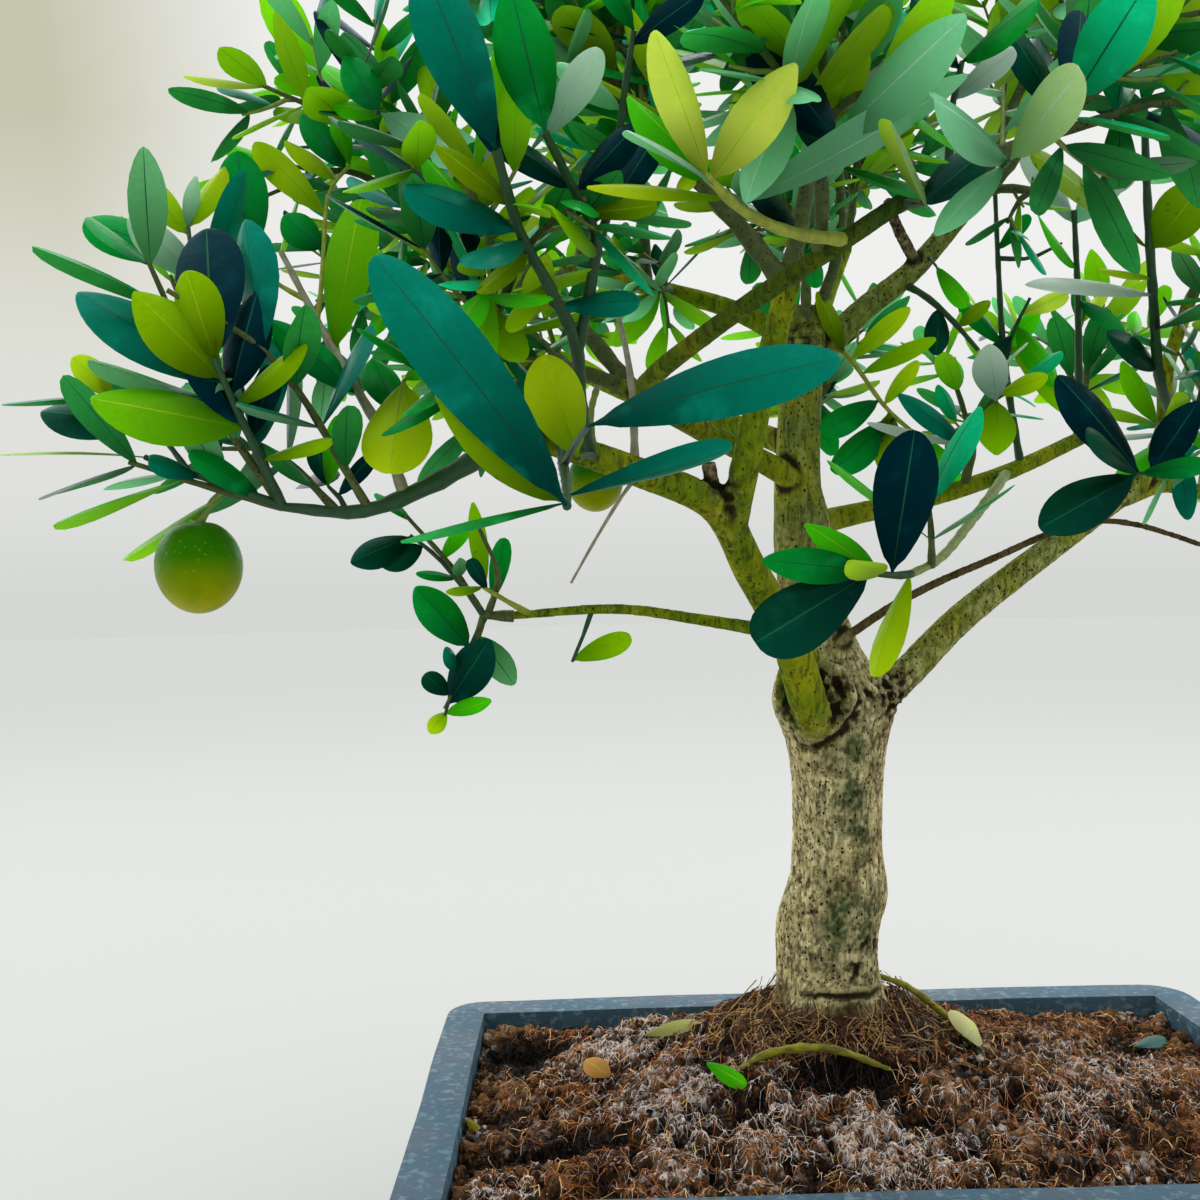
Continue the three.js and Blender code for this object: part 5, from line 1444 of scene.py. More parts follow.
# The sprays that stand out in the photograph: a twig each, from the limb that carries it. Each has
# its mass, the limb or spray that carries it, where it leaves that, its radius, its way and its
# leaves. Places are columns and rows of the photograph's 1200 by 1200 frame, with the depth y in
# millimetres. A leaf has its root's place, its tip's place, width over length, turn and tone.
PHOTO_SIZE = 1200
SPRAYS = {
    "knot": (
        "left_tip", "left_tip", (282, 506), 1.3, [(262, 462, -86), (236, 408, -94), (214, 358, -98)],
        [((238, 432), (91, 396, -106), 0.42, 10, "grass"), ((236, 430), (187, 348, -98), 0.36, 20, "navy"),
         ((236, 405), (304, 342, -98), 0.3, -15, "golden"), ((232, 396), (256, 283, -90), 0.36, 0, "navy"),
         ((224, 380), (134, 290, -104), 0.46, 5, "golden"),
         ((216, 362), (185, 270, -101), 0.48, 0, "golden"), ((215, 360), (203, 221, -86), 0.42, 0, "navy"),
         ((224, 385), (76, 288, -90), 0.32, 15, "teal"), ((248, 440), (277, 362, -84), 0.3, 30, "navy"),
         ((255, 450), (296, 325, -72), 0.2, 40, "teal"),
         ((262, 460), (327, 433, -92), 0.26, -30, "golden")]),
    "knot_back": (
        "left_tip", "knot", (268, 474), 1.0,
        [(238, 380, -80), (208, 300, -74), (192, 252, -70), (188, 228, -68)],
        [((196, 262), (84, 212, -78), 0.4, 10, "green"), ((200, 280), (131, 216, -84), 0.4, 0, "pale"),
         ((190, 235), (131, 168, -66), 0.27, -10, "lime"), ((188, 228), (198, 176, -68), 0.3, 50, "pale"),
         ((188, 228), (221, 160, -62), 0.34, -10, "lime"),
         ((205, 290), (253, 172, -74), 0.24, 60, "teal")]),
    "bare_twig": (
        "left_tip", "left_tip", (404, 495), 1.5,
        [(385, 440, -76), (356, 388, -72), (318, 322, -66), (281, 252, -60)],
        [((351, 401), (268, 316, -74), 0.28, 10, "green"), ((338, 350), (356, 190, -68), 0.3, 0, "grass"),
         ((366, 400), (331, 340, -64), 0.3, 40, "teal")]),
    "left_shoot": (
        "left_tip", "bare_twig", (306, 300), 0.8, [(278, 284, -62), (250, 262, -61), (236, 250, -60)],
        [((250, 262), (236, 148, -62), 0.42, 5, "green")]),
    "left_spire": (
        "left_tip", "bare_twig", (318, 320), 0.8,
        [(322, 280, -62), (324, 240, -58), (330, 190, -54), (350, 165, -52)],
        [((323, 250), (283, 213, -60), 0.62, 0, "green"), ((326, 215), (254, 141, -52), 0.28, 10, "lime"),
         ((336, 180), (285, 139, -50), 0.3, 20, "lime"), ((345, 168), (300, 112, -48), 0.34, 0, "green"),
         ((350, 165), (332, 108, -50), 0.3, -20, "fresh")]),
    "left_fold": (
        "left_tip", "bare_twig", (385, 440), 0.9, [(398, 410, -77), (404, 380, -78)],
        [((404, 380), (388, 462, -97), 0.55, 0, "light"), ((396, 412), (371, 353, -66), 0.4, 10, "green"),
         ((404, 380), (445, 352, -70), 0.32, 0, "fresh")]),
    "left_reach": (
        "left_tip", "left_tip", (282, 506), 1.2,
        [(244, 492, -82), (205, 478, -81), (165, 466, -79), (145, 457, -78)],
        [((146, 458), (1, 439, -80), 0.28, 68, "golden"), ((200, 476), (153, 456, -90), 0.42, 20, "teal"),
         ((185, 472), (104, 476, -72), 0.3, 74, "pale"), ((262, 498), (194, 450, -90), 0.3, 10, "green")]),
    "left_end": (
        "left_tip", "left_reach", (190, 474), 0.8, [(165, 440, -76), (140, 412, -74), (118, 396, -73)],
        [((118, 396), (1, 399, -79), 0.3, 72, "teal"), ((122, 398), (70, 355, -70), 0.36, 0, "lime"),
         ((135, 408), (106, 360, -70), 0.5, 20, "green"), ((150, 425), (33, 404, -71), 0.36, 5, "deep")]),
    "left_small": (
        "left_tip", "left_tip", (347, 512), 0.8, [(340, 498, -78), (328, 486, -77)],
        [((328, 486), (338, 415, -78), 0.28, 0, "fresh"), ((328, 486), (315, 444, -74), 0.45, 10, "deep"),
         ((338, 496), (372, 452, -78), 0.3, 0, "navy")]),
    "low_drop": (
        "left_low", "left_low", (486, 615), 1.0, [(470, 648, -8), (452, 690, -9), (445, 716, -10)],
        [((470, 648), (416, 586, -10), 0.46, 0, "green"), ((452, 706), (488, 640, -14), 0.52, 0, "deep"),
         ((450, 695), (424, 674, -8), 0.6, 10, "deep"), ((446, 712), (429, 732, -12), 0.62, 0, "lime"),
         ((446, 714), (489, 702, -14), 0.32, 20, "fresh"), ((460, 672), (446, 648, -14), 0.5, 40, "teal")]),
    "low_rise": (
        "left_low", "left_low", (484, 615), 1.0, [(460, 583, -11), (436, 556, -13), (410, 535, -15)],
        [((424, 545), (382, 566, -18), 0.55, 0, "deep"), ((412, 536), (350, 560, -20), 0.5, 10, "deep"),
         ((455, 580), (416, 572, -12), 0.3, 30, "green"), ((440, 560), (470, 520, -10), 0.3, 0, "fresh")]),
    "low_fork": (
        "left_low", "bough_left_low", (530, 612), 1.1, [(505, 600, -13), (483, 587, -14)],
        [((484, 588), (476, 502, -16), 0.2, 20, "golden"), ((487, 590), (470, 560, -20), 0.34, 0, "deep"),
         ((483, 587), (446, 590, -18), 0.4, 40, "golden")]),
    "low_spotted": (
        "left_low", "bough_left_low", (592, 610), 0.9, [(583, 636, -11), (572, 662, -11)],
        [((572, 660), (630, 636, -14), 0.36, 0, "golden")]),
    "near_left": (
        "front_left", "bough_left", (562, 446), 1.5,
        [(563, 462, -100), (566, 482, -135), (567, 506, -165)],
        [((567, 506), (381, 250, -180), 0.24, 0, "teal"), ((567, 504), (440, 391, -172), 0.3, 0, "olive"),
         ((567, 503), (398, 528, -164), 0.2, 62, "green"),
         ((566, 496), (736, 456, -152), 0.2, 72, "teal")]),
    "near_level": (
        "front_left", "near_left", (564, 466), 1.0, [(574, 446, -125), (588, 426, -158)],
        [((588, 426), (839, 343, -166), 0.24, 0, "teal")]),
    "near_light": (
        "front_left", "bough_left", (600, 452), 1.0, [(588, 455, -80), (578, 458, -108)],
        [((578, 458), (543, 356, -116), 0.52, 0, "light")]),
    "dark_fork": (
        "front_left", "bough_left", (590, 449), 1.9,
        [(580, 400, -90), (576, 345, -108), (548, 284, -126), (520, 232, -138), (496, 150, -150)],
        [((496, 150), (426, -30, -165), 0.36, 0, "teal"), ((500, 160), (467, 57, -158), 0.3, 10, "navy"),
         ((520, 232), (404, 184, -140), 0.34, 0, "teal"), ((524, 240), (468, 250, -156), 0.36, 20, "teal"),
         ((512, 205), (440, 142, -150), 0.26, 0, "olive"),
         ((530, 250), (478, 292, -140), 0.34, 20, "olive"),
         ((548, 284), (505, 330, -120), 0.3, 0, "golden"),
         ((560, 305), (640, 300, -118), 0.3, 10, "teal")]),
    "dark_fork_right": (
        "front_left", "dark_fork", (577, 350), 1.5,
        [(590, 290, -118), (596, 236, -126), (574, 190, -134), (545, 132, -145)],
        [((545, 132), (510, -20, -160), 0.4, 0, "green"), ((547, 136), (600, 48, -150), 0.34, 20, "pale"),
         ((574, 190), (490, 120, -138), 0.3, 10, "deep"), ((585, 215), (655, 205, -135), 0.26, 30, "olive"),
         ((594, 250), (560, 200, -150), 0.4, 0, "golden"),
         ((575, 192), (640, 120, -136), 0.34, 0, "navy")]),
    "dark_fork_high": (
        "front_centre", "dark_fork_right", (596, 250), 1.1,
        [(614, 190, -126), (622, 110, -134), (634, 30, -142)],
        [((634, 30), (600, -45, -150), 0.36, 0, "green"), ((632, 45), (700, -10, -148), 0.34, 10, "navy"),
         ((622, 110), (560, 60, -140), 0.34, 0, "sage")]),
    "upper_left": (
        "front_left", "left_upper", (430, 210), 1.0, [(410, 150, -60), (388, 115, -72), (375, 112, -76)],
        [((380, 113), (494, 166, -96), 0.28, 0, "sage"), ((378, 113), (345, 52, -74), 0.48, 0, "green"),
         ((385, 118), (330, 100, -66), 0.3, 0, "fresh")]),
    "bright_pair": (
        "front_centre", "bough_front_crossing", (845, 240), 1.6,
        [(790, 232, -126), (740, 208, -142), (706, 176, -154)],
        [((708, 178), (655, 30, -164), 0.27, 0, "bright"), ((712, 180), (792, 60, -162), 0.38, 0, "bright"),
         ((712, 184), (630, 92, -150), 0.4, 20, "fresh"), ((718, 190), (638, 112, -170), 0.24, 50, "pale"),
         ((730, 200), (592, 166, -152), 0.24, 40, "light"), ((736, 206), (978, 88, -152), 0.18, 66, "sage"),
         ((790, 232), (760, 170, -116), 0.4, 20, "navy")]),
    "sage_near": (
        "front_centre", "front_centre", (822, 180), 1.0, [(830, 160, -132), (838, 138, -144)],
        [((838, 138), (962, 14, -168), 0.36, 0, "sage"), ((836, 142), (755, 30, -140), 0.42, 0, "navy"),
         ((830, 160), (800, 110, -140), 0.4, 0, "deep")]),
    "brown_near": (
        "front_right", "front_right", (905, 202), 0.9, [(914, 206, -128), (924, 204, -142)],
        [((924, 204), (903, 113, -178), 0.34, 0, "brown"),
         ((920, 205), (985, 150, -130), 0.34, 10, "deep")]),
    "brown_pair": (
        "front_right", "front_right", (993, 153), 1.0, [(1002, 165, -132), (1010, 160, -148)],
        [((1010, 160), (1077, 72, -168), 0.44, 0, "putty"), ((1008, 162), (950, 92, -166), 0.4, 0, "sage"),
         ((1004, 165), (935, 225, -140), 0.3, 20, "sage")]),
    "sage_high": (
        "front_right", "front_right", (1039, 137), 1.0, [(1060, 118, -132), (1073, 102, -146)],
        [((1073, 102), (1142, -12, -168), 0.44, 0, "emerald"),
         ((1071, 104), (1085, 5, -140), 0.34, 10, "navy"),
         ((1062, 116), (1010, 25, -140), 0.34, 0, "deep")]),
    "green_high": (
        "front_right", "front_right", (950, 176), 1.0, [(950, 120, -128), (962, 62, -140)],
        [((962, 62), (1033, -5, -160), 0.46, 0, "green"), ((960, 70), (915, -5, -150), 0.4, 0, "deep"),
         ((955, 100), (1012, 50, -142), 0.3, 20, "pale blue")]),
    "fork_front": (
        "right_front_low", "right_front_low", (911, 573), 1.1,
        [(898, 575, -53), (884, 574, -56), (870, 572, -57)],
        [((892, 573), (916, 430, -60), 0.42, 0, "navy"), ((872, 573), (767, 557, -62), 0.32, 0, "green"),
         ((872, 574), (756, 642, -66), 0.46, 0, "deep"), ((878, 573), (806, 520, -50), 0.34, 10, "fresh")]),
    "right_dark": (
        "right_front", "right_front_lead", (1165, 470), 0.9, [(1152, 472, -37), (1136, 474, -40)],
        [((1137, 474), (1041, 527, -46), 0.4, 0, "deep"), ((1150, 472), (1200, 400, -40), 0.42, 0, "navy"),
         ((1140, 474), (1066, 373, -44), 0.34, 0, "navy"),
         ((1140, 474), (1205, 462, -52), 0.3, 10, "green"),
         ((1137, 474), (1098, 428, -56), 0.34, 20, "deep")]),
    "stick_left": (
        "right_mid", "bough_right_back", (1021, 466), 1.4,
        [(1010, 400, 44), (1003, 345, 41), (998, 260, 39), (995, 190, 37)],
        [((1003, 345), (965, 300, 36), 0.3, 0, "green"), ((1003, 350), (1040, 312, 36), 0.36, 0, "fresh"),
         ((998, 250), (1030, 215, 34), 0.3, 0, "green")]),
    "stick_arm": (
        "right_mid", "stick_left", (1000, 258), 0.9, [(1030, 258, 36), (1062, 243, 34)],
        []),
    "branch_drop": (
        "right_mid", "bough_right_high", (900, 283), 1.3, [(925, 296, 16), (950, 318, 12), (978, 350, 8)],
        [((938, 308), (937, 354, 10), 0.46, 0, "deep"), ((960, 325), (990, 300, 8), 0.34, 0, "olive")]),
    "hanging": (
        "right_mid", "bough_right_high", (930, 258), 0.7, [(933, 262, 14), (936, 266, 12)],
        [((936, 266), (968, 306, 8), 0.36, 0, "fresh")]),
    "right_low": (
        "right_mid", "bough_right_high", (828, 336), 0.9,
        [(853, 362, 10), (889, 411, 6), (925, 438, 4), (975, 446, 2)],
        [((845, 352), (821, 291, 6), 0.3, 10, "olive"), ((850, 360), (911, 308, 4), 0.24, 20, "lime"),
         ((862, 374), (936, 337, 2), 0.2, 10, "golden"), ((880, 400), (822, 431, 4), 0.4, 0, "green"),
         ((884, 405), (918, 360, 2), 0.26, 0, "lime"), ((889, 411), (890, 475, 2), 0.42, 0, "olive"),
         ((895, 418), (832, 470, 4), 0.4, 10, "green"), ((965, 445), (903, 391, 0), 0.26, 0, "teal"),
         ((965, 445), (868, 421, 2), 0.16, 30, "pale blue"),
         ((930, 440), (960, 480, 0), 0.34, 0, "fresh")]),
    "cut_twig": (
        "right_mid", "stick_left", (1004, 362), 1.0, [(1012, 335, 38), (1030, 298, 36)],
        [((1022, 315), (1068, 292, 32), 0.36, 0, "bright"),
         ((1016, 325), (1058, 384, 30), 0.36, 0, "fresh"), ((1012, 335), (985, 372, 32), 0.4, 0, "deep"),
         ((1010, 345), (1078, 412, 28), 0.24, 20, "golden")]),
    "blue_leaf": (
        "right_mid", "stick_left", (1007, 380), 0.8, [(1000, 392, 20), (996, 402, 6)],
        [((996, 402), (990, 344, 2), 0.62, 0, "pale blue"), ((997, 400), (998, 450, 0), 0.6, 10, "golden"),
         ((1000, 395), (1045, 375, 4), 0.36, 0, "light")]),
    "stick_mid": (
        "right_front", "right_back", (1080, 425), 1.6,
        [(1079, 380, 46), (1078, 300, 32), (1074, 210, 20)],
        [((1075, 225), (1028, 142, 14), 0.36, 10, "pale blue"),
         ((1075, 225), (1130, 150, 12), 0.4, 0, "pale"), ((1077, 270), (1040, 215, 16), 0.3, 30, "fresh"),
         ((1078, 300), (1125, 330, 20), 0.3, 0, "green")]),
    "stick_right": (
        "right_front", "right_front", (1176, 423), 1.8,
        [(1160, 380, -20), (1152, 280, -44), (1147, 190, -56), (1144, 105, -62)],
        [((1150, 252), (1050, 140, -74), 0.22, 20, "olive"),
         ((1152, 295), (1040, 257, -70), 0.24, 40, "pale blue"),
         ((1152, 278), (1100, 266, -52), 0.2, 30, "lime"),
         ((1150, 250), (1208, 178, -74), 0.44, 0, "olive"),
         ((1146, 160), (1085, 184, -64), 0.45, 0, "pale blue"),
         ((1145, 110), (1206, 150, -76), 0.34, 0, "navy"), ((1145, 112), (1095, 100, -60), 0.36, 0, "deep"),
         ((1144, 105), (1160, 40, -70), 0.34, 0, "green"), ((1155, 330), (1205, 300, -60), 0.36, 0, "navy"),
         ((1158, 370), (1120, 330, -40), 0.34, 0, "deep")]),
    "thin_riser": (
        "front_left", "bough_left", (636, 470), 1.2, [(633, 405, -54), (628, 360, -52), (612, 290, -50)],
        []),
    "bare_stalk": (
        "left_mid", "bough_left", (640, 474), 0.6, [(624, 493, -57), (598, 535, -55), (571, 583, -52)],
        []),
}
SPRAY_SKINS = {
    "dark green twig": (0.012, 0.070, 0.018),
    "grey twig": (0.360, 0.330, 0.230),
    "yellow twig": (0.360, 0.400, 0.030),
}
GREY_SPRAYS = ("bare_twig", "thin_riser", "bare_stalk")
YELLOW_SPRAYS = ("bright_pair", "low_fork", "left_shoot", "left_spire", "right_low")
FACING = np.array((0.0, -0.96, 0.28))
photo_turn = np.array(camera_turn)
photo_focus = PHOTO_SIZE * camera.data.lens / camera.data.sensor_width
photo_eye = np.array(CAMERA_PLACE) / MM


def seen(column, row, y):
    """The point, in millimetres, that a place of the photograph shows at depth y."""
    aim = photo_turn @ (column - PHOTO_SIZE / 2, PHOTO_SIZE / 2 - row, -photo_focus)
    return photo_eye + aim * (y - photo_eye[1]) / aim[1]


def place_on(way, column, row):
    """The share of a way's length that the photograph shows nearest to a place."""
    shares = np.linspace(0, 1, 300)
    points = (way.at(shares) - photo_eye) @ photo_turn
    shown = points[:, :2] / -points[:, 2:] * photo_focus
    away = shown - (column - PHOTO_SIZE / 2, PHOTO_SIZE / 2 - row)
    return shares[np.argmin((away ** 2).sum(1))]


carriers = {name: Way(points) for name, root, tip, collar, points in BOUGHS}
carriers.update({name: Way(mass["stem"]) for name, mass in MASSES.items()})
carriers["right_front_lead"] = Way(MASSES["right_front"]["leads"][0][0])
spray_twigs = {name: [] for name in MASSES}
spray_leaves = {name: [] for name in MASSES}
for label, (name, carrier, start, radius, route, leaves) in SPRAYS.items():
    root = carriers[carrier].at(place_on(carriers[carrier], *start))
    way = carriers[label] = Way([root] + [seen(*place) for place in route])
    skin = 2 + (label in GREY_SPRAYS) + 2 * (label in YELLOW_SPRAYS)
    spray_twigs[name].append((way, radius, 0.45 * radius + 0.1, skin))
    for leaf_root, leaf_tip, width, turn, tone in leaves:
        root = way.at(max(0.1, place_on(way, *leaf_root)))
        reach = seen(*leaf_tip) - root
        aim = unit(reach)
        face = turned(unit(FACING - aim * (FACING @ aim)), aim, math.radians(turn))
        spray_leaves[name].append(Leaf(root, aim, face, np.linalg.norm(reach), tone, width))
all_sprays = [leaf for leaves in spray_leaves.values() for leaf in leaves]
spray_points = np.vstack([
    way.at(np.linspace(0.1, 1, 16)) for twigs in spray_twigs.values() for way, *rest in twigs
])

# Finer twigs: more pairs back along each shoot, and side twigs that carry smaller leaves.
MORE_SHOOTS = 2
MORE_PAIRS = 4
FINE_LEAF, PLACED_LEAF, MORE_LEAF = 0.78, 0.92, 0.92
SIDE_PITCH = 5.2
SIDE_ANGLE = 50
SIDE_LENGTHS = (9, 38)
SIDE_LEAF = 0.62
SIDE_LEAF_PITCH = 6.5
SIDE_ROOM = 14
SIDE_ROOT, SIDE_TIP = 0.62, 0.38
LEAF_GAP, THIN_GAP = 1.4, 0.5
THINNED = {
    "right_back": 2.8, "right_mid": 2.6, "right_outer": 1.3, "right_front": 1.8, "right_high": 1.2,
    "right_upper": 2.2, "front_high": 2.2, "front_right": 1.8, "back": 1.5, "back_left": 1.2,
    "left_back": 2.0, "left_mid": 2.2, "left_upper": 2.2, "front_upper": 1.5, "front_left": 1.5,
}
PLACED_MASSES = ("left_tip", "left_low", "right_front_low")
OPEN_MASSES = (
    "left_mid", "left_upper", "left_back", "front_left", "inner_left", "right_front", "right_mid",
    "right_back", "front_right", "front_high", "right_upper", "inner_right",
)
INNER = {
    "inner_upper": dict(
        parent="trunk", seed=41, shoots=8, leaf=30, at=(-18, -4, 336), size=(46, 46, 34),
        stem=[(-11, 14, 305), (-13, 2, 316), (-15, -8, 328)]),
    "inner_right": dict(
        parent="bough_right_high", seed=42, shoots=3, leaf=28, at=(62, 8, 344), size=(40, 40, 34),
        stem=[(49, 26, 351), (54, 18, 350), (60, 8, 346)]),
    "inner_left": dict(
        parent="bough_left_high", seed=43, leaf=28, at=(-58, 18, 318), size=(40, 40, 34),
        stem=[(-52, 36, 323), (-54, 28, 322), (-57, 20, 320)]),
}
INNER = {name: {**USUAL_MASS, **mass} for name, mass in INNER.items()}
grown = []


def side_twigs(way, space, draw, pitch, lengths=(0.3, 0.52), shares=(0.16, 0.9)):
    """Twigs that spring from a shoot, shorter towards its tip."""
    count = max(1, int(way.length * (shares[1] - shares[0]) / pitch))
    for i in range(count):
        share = shares[0] + (shares[1] - shares[0]) * (i + draw()) / count
        start, along = way.at(share), way.along(share)
        around = turned(level_beside(along), along, GOLDEN_TURN * i + 6.28 * draw())
        angle = math.radians(SIDE_ANGLE + 16 * (draw() - 0.5))
        reach = way.length * (lengths[0] + (lengths[1] - lengths[0]) * draw()) * (1.15 - 0.6 * share)
        reach = min(SIDE_LENGTHS[1], max(SIDE_LENGTHS[0], reach))
        for shorter in (1, 0.75, 0.55):
            tip = start + (along * math.cos(angle) + around * math.sin(angle)) * reach * shorter
            tip = tip + UP * 0.16 * reach * shorter
            twig = Way([start, (start + tip) / 2 - UP * 0.05 * reach, tip])
            held = space.holds(tip + unit(tip - start) * SIDE_ROOM)
            if held and space.clear(twig.at(np.linspace(0.2, 1, 6)), 1.0):
                yield twig
                break


def grow(name, mass):
    """All twigs and leaves of a mass: [(way, radius at root, radius at tip, skin)] and [Leaf]."""
    space, draw = Space(name, mass), seeded(mass["seed"])
    finer, tones = seeded(mass["seed"] + 900), seeded(mass["seed"] + 500)
    placed = name in PLACED_MASSES
    stem = Way(mass["stem"])
    thick = max(STEM_RADIUS, 0.93 * PARENT_TIP[mass["parent"]])
    if mass["parent"] in ("bough_right_back", "trunk") or name in INNER:
        thick = STEM_RADIUS
    more_shoots = 0 if placed or name in OPEN_MASSES else MORE_SHOOTS
    more = {**mass, "seed": mass["seed"] + 40, "shoots": more_shoots}
    shoots = []
    own = [*mass["leads"], *fan(mass, space, draw)]
    for points, pairs, length, roll in own + [*fan(more, space, finer)]:
        way = Way(points)
        if twig_clear(way, space):
            shoots.append((way, pairs, length * (PLACED_LEAF if placed else FINE_LEAF), roll))
    lines = [stem] + [shoot[0] for shoot in shoots]
    near = np.linalg.norm(spray_points - space.middle, axis=1) < space.size.max() + 20
    twig_points = np.vstack([line.at(np.linspace(0, 1, 13)) for line in lines] + [spray_points[near]])
    twigs = [(stem, thick, SHOOT_RADIUS, mass["skin"]), *spray_twigs.get(name, [])]
    kept = Kept()
    for leaf in all_sprays + grown:
        if np.linalg.norm(leaf.root - space.middle) < space.size.max() + leaf.length:
            kept.add(leaf)
    known = len(kept.leaves)

    def offer(leaves, tone, own_gap, leaf_gap):
        """Keeps each leaf that has room at one of its sizes."""
        for leaf in leaves:
            for size in LEAF_SIZES:
                fitted = leaf.resized(size)
                if not space.holds(fitted.corners()) or not space.clear(fitted.spread(), LIMB_GAP):
                    continue
                if fitted.holds(twig_points, own_gap) or kept.meets(fitted, leaf_gap):
                    continue
                fitted.tone = tone
                kept.add(fitted)
                break

    for way, pairs, length, roll in shoots:
        twigs.append((way, SHOOT_RADIUS, SHOOT_TIP * 0.75, 0))
        offer(leaf_pairs(way, pairs, length, roll, draw), tones(), SHOOT_RADIUS + 1, LEAF_GAP)
    sides = []
    pitch = SIDE_PITCH * THINNED.get(name, 1)
    for way, pairs, length, roll in shoots:
        room = int((0.88 * way.length - TIP_GAP) / LEAF_PITCH) + 1 - pairs
        extra = max(0, min(MORE_PAIRS, room))
        further = leaf_pairs(way, extra, length * MORE_LEAF, roll, finer, first=pairs)
        offer(further, tones(), 1.6, THIN_GAP)
        if not placed:
            sides += [(twig, tones()) for twig in side_twigs(way, space, finer, pitch)]
    if mass["shoots"] and not placed:
        from_stem = side_twigs(stem, space, finer, pitch, (0.4, 0.7), (0.5, 1))
        sides += [(twig, tones()) for twig in from_stem]
    for twig, tone in sides:
        pairs = max(1, min(5, round(twig.length / SIDE_LEAF_PITCH)))
        before = len(kept.leaves)
        length, roll = mass["leaf"] * SIDE_LEAF, 180 * finer()
        offer(leaf_pairs(twig, pairs, length, roll, finer, SIDE_LEAF_PITCH), tone, 1.2, THIN_GAP)
        if len(kept.leaves) > before:
            twigs.append((twig, SIDE_ROOT, SIDE_TIP, 1))
            twig_points = np.vstack((twig_points, twig.at(np.linspace(0.15, 0.95, 6))))
    grown.extend(kept.leaves[known:])
    return twigs, kept.leaves[known:]


# Leaves: leathery and narrow to spoon shaped, dark and glossy above, pale grey green below,
# young ones yellow green. Each is a thin closed blade with a midrib, its own strip. A tone has its
# colour and its share of the sprays to the left and behind, where they are yellower, and elsewhere.
# Painted light and shade on the leaves: each blade darker at its root and lighter at its tip, a painted sheen
# on dark ones, the pale blue tone a painted reflection and the bright tone a leaf lit through from behind.
BLADE_ROWS, SPRAY_BLADE_ROWS = 9, 17
BLADE_COLUMNS = np.array((-1, -0.52, -0.03, 0.03, 0.52, 1))
BLADE_UPPER, BLADE_LOWER = (0, 1, 2, 3, 4, 5), (0, 6, 7, 5)
BLADE_THICKNESS = 0.36
PETIOLE_SHARE = 0.1
PETIOLE_HALF = 0.35
TONES = {
    "teal": ((0.001, 0.150, 0.100), 0.12, 0.08),
    "navy": ((0.000, 0.014, 0.022), 0.10, 0.07),
    "deep": ((0.001, 0.040, 0.018), 0.11, 0.06),
    "green": ((0.002, 0.220, 0.020), 0.17, 0.15),
    "emerald": ((0.004, 0.400, 0.190), 0.04, 0.14),
    "fresh": ((0.060, 0.480, 0.006), 0.11, 0.11),
    "grass": ((0.150, 0.410, 0.004), 0.12, 0.05),
    "lime": ((0.400, 0.720, 0.006), 0.07, 0.03),
    "olive": ((0.180, 0.270, 0.002), 0.07, 0.05),
    "golden": ((0.245, 0.430, 0.001), 0.04, 0.02),
    "sage": ((0.200, 0.560, 0.290), 0.03, 0.11),
    "pale": ((0.420, 0.740, 0.520), 0.01, 0.06),
    # Pale blue leaves: a painted reflection of the bright room.
    "pale blue": ((0.600, 0.880, 0.960), 0.01, 0.07),
    "light": ((0.420, 0.640, 0.006), 0, 0),
    # Bright leaves: painted light, the colour of a leaf lit through from behind.
    "bright": ((0.900, 1.000, 0.080), 0, 0),
    "brown": ((0.180, 0.250, 0.110), 0, 0),
    "putty": ((0.420, 0.500, 0.230), 0, 0),
    "rust": ((0.520, 0.180, 0.010), 0, 0),
    "straw": ((0.520, 0.430, 0.170), 0, 0),
    "ochre": ((0.360, 0.270, 0.015), 0, 0),
}
UNDER_TONES = {
    "green underside": (0.030, 0.290, 0.050),
    "grey underside": (0.150, 0.440, 0.200),
    "young underside": (0.300, 0.640, 0.010),
}
MIDRIB_TONES = {
    "dark leaf midrib": (0.003, 0.085, 0.050),
    "young leaf midrib": (0.260, 0.480, 0.010),
    "pale leaf midrib": (0.300, 0.620, 0.360),
}
TONE_NAMES = list(TONES)
TONE_LIMITS = np.cumsum([shares for colour, *shares in TONES.values()], axis=0)
YOUNG_TONES = (
    "fresh", "lime", "olive", "golden", "sage", "pale", "brown", "putty", "grass", "light",
    "bright", "rust", "straw", "ochre",
)
SPOTTED_TONES = ("olive", "golden", "brown")
DARK_TONES = ("teal", "navy", "deep", "green", "emerald")
PALE_TONES = ("sage", "pale", "putty")
# Blue added to the painted sheen of dark leaves.
PAINTED_SHEEN_BLUE = (0.004, 0.050, 0.055)
DARK_SHEEN, PALE_SHEEN, YOUNG_SHEEN = (0.02, 0.7, 1.0, 1), (0.5, 0.95, 0.8, 1), (0.6, 1.0, 0.05, 1)
YELLOWER_LEFT_OF, YELLOWER_BEHIND = -90, 60


def scaled(colour, share):
    return tuple(min(1, share * part) for part in colour)


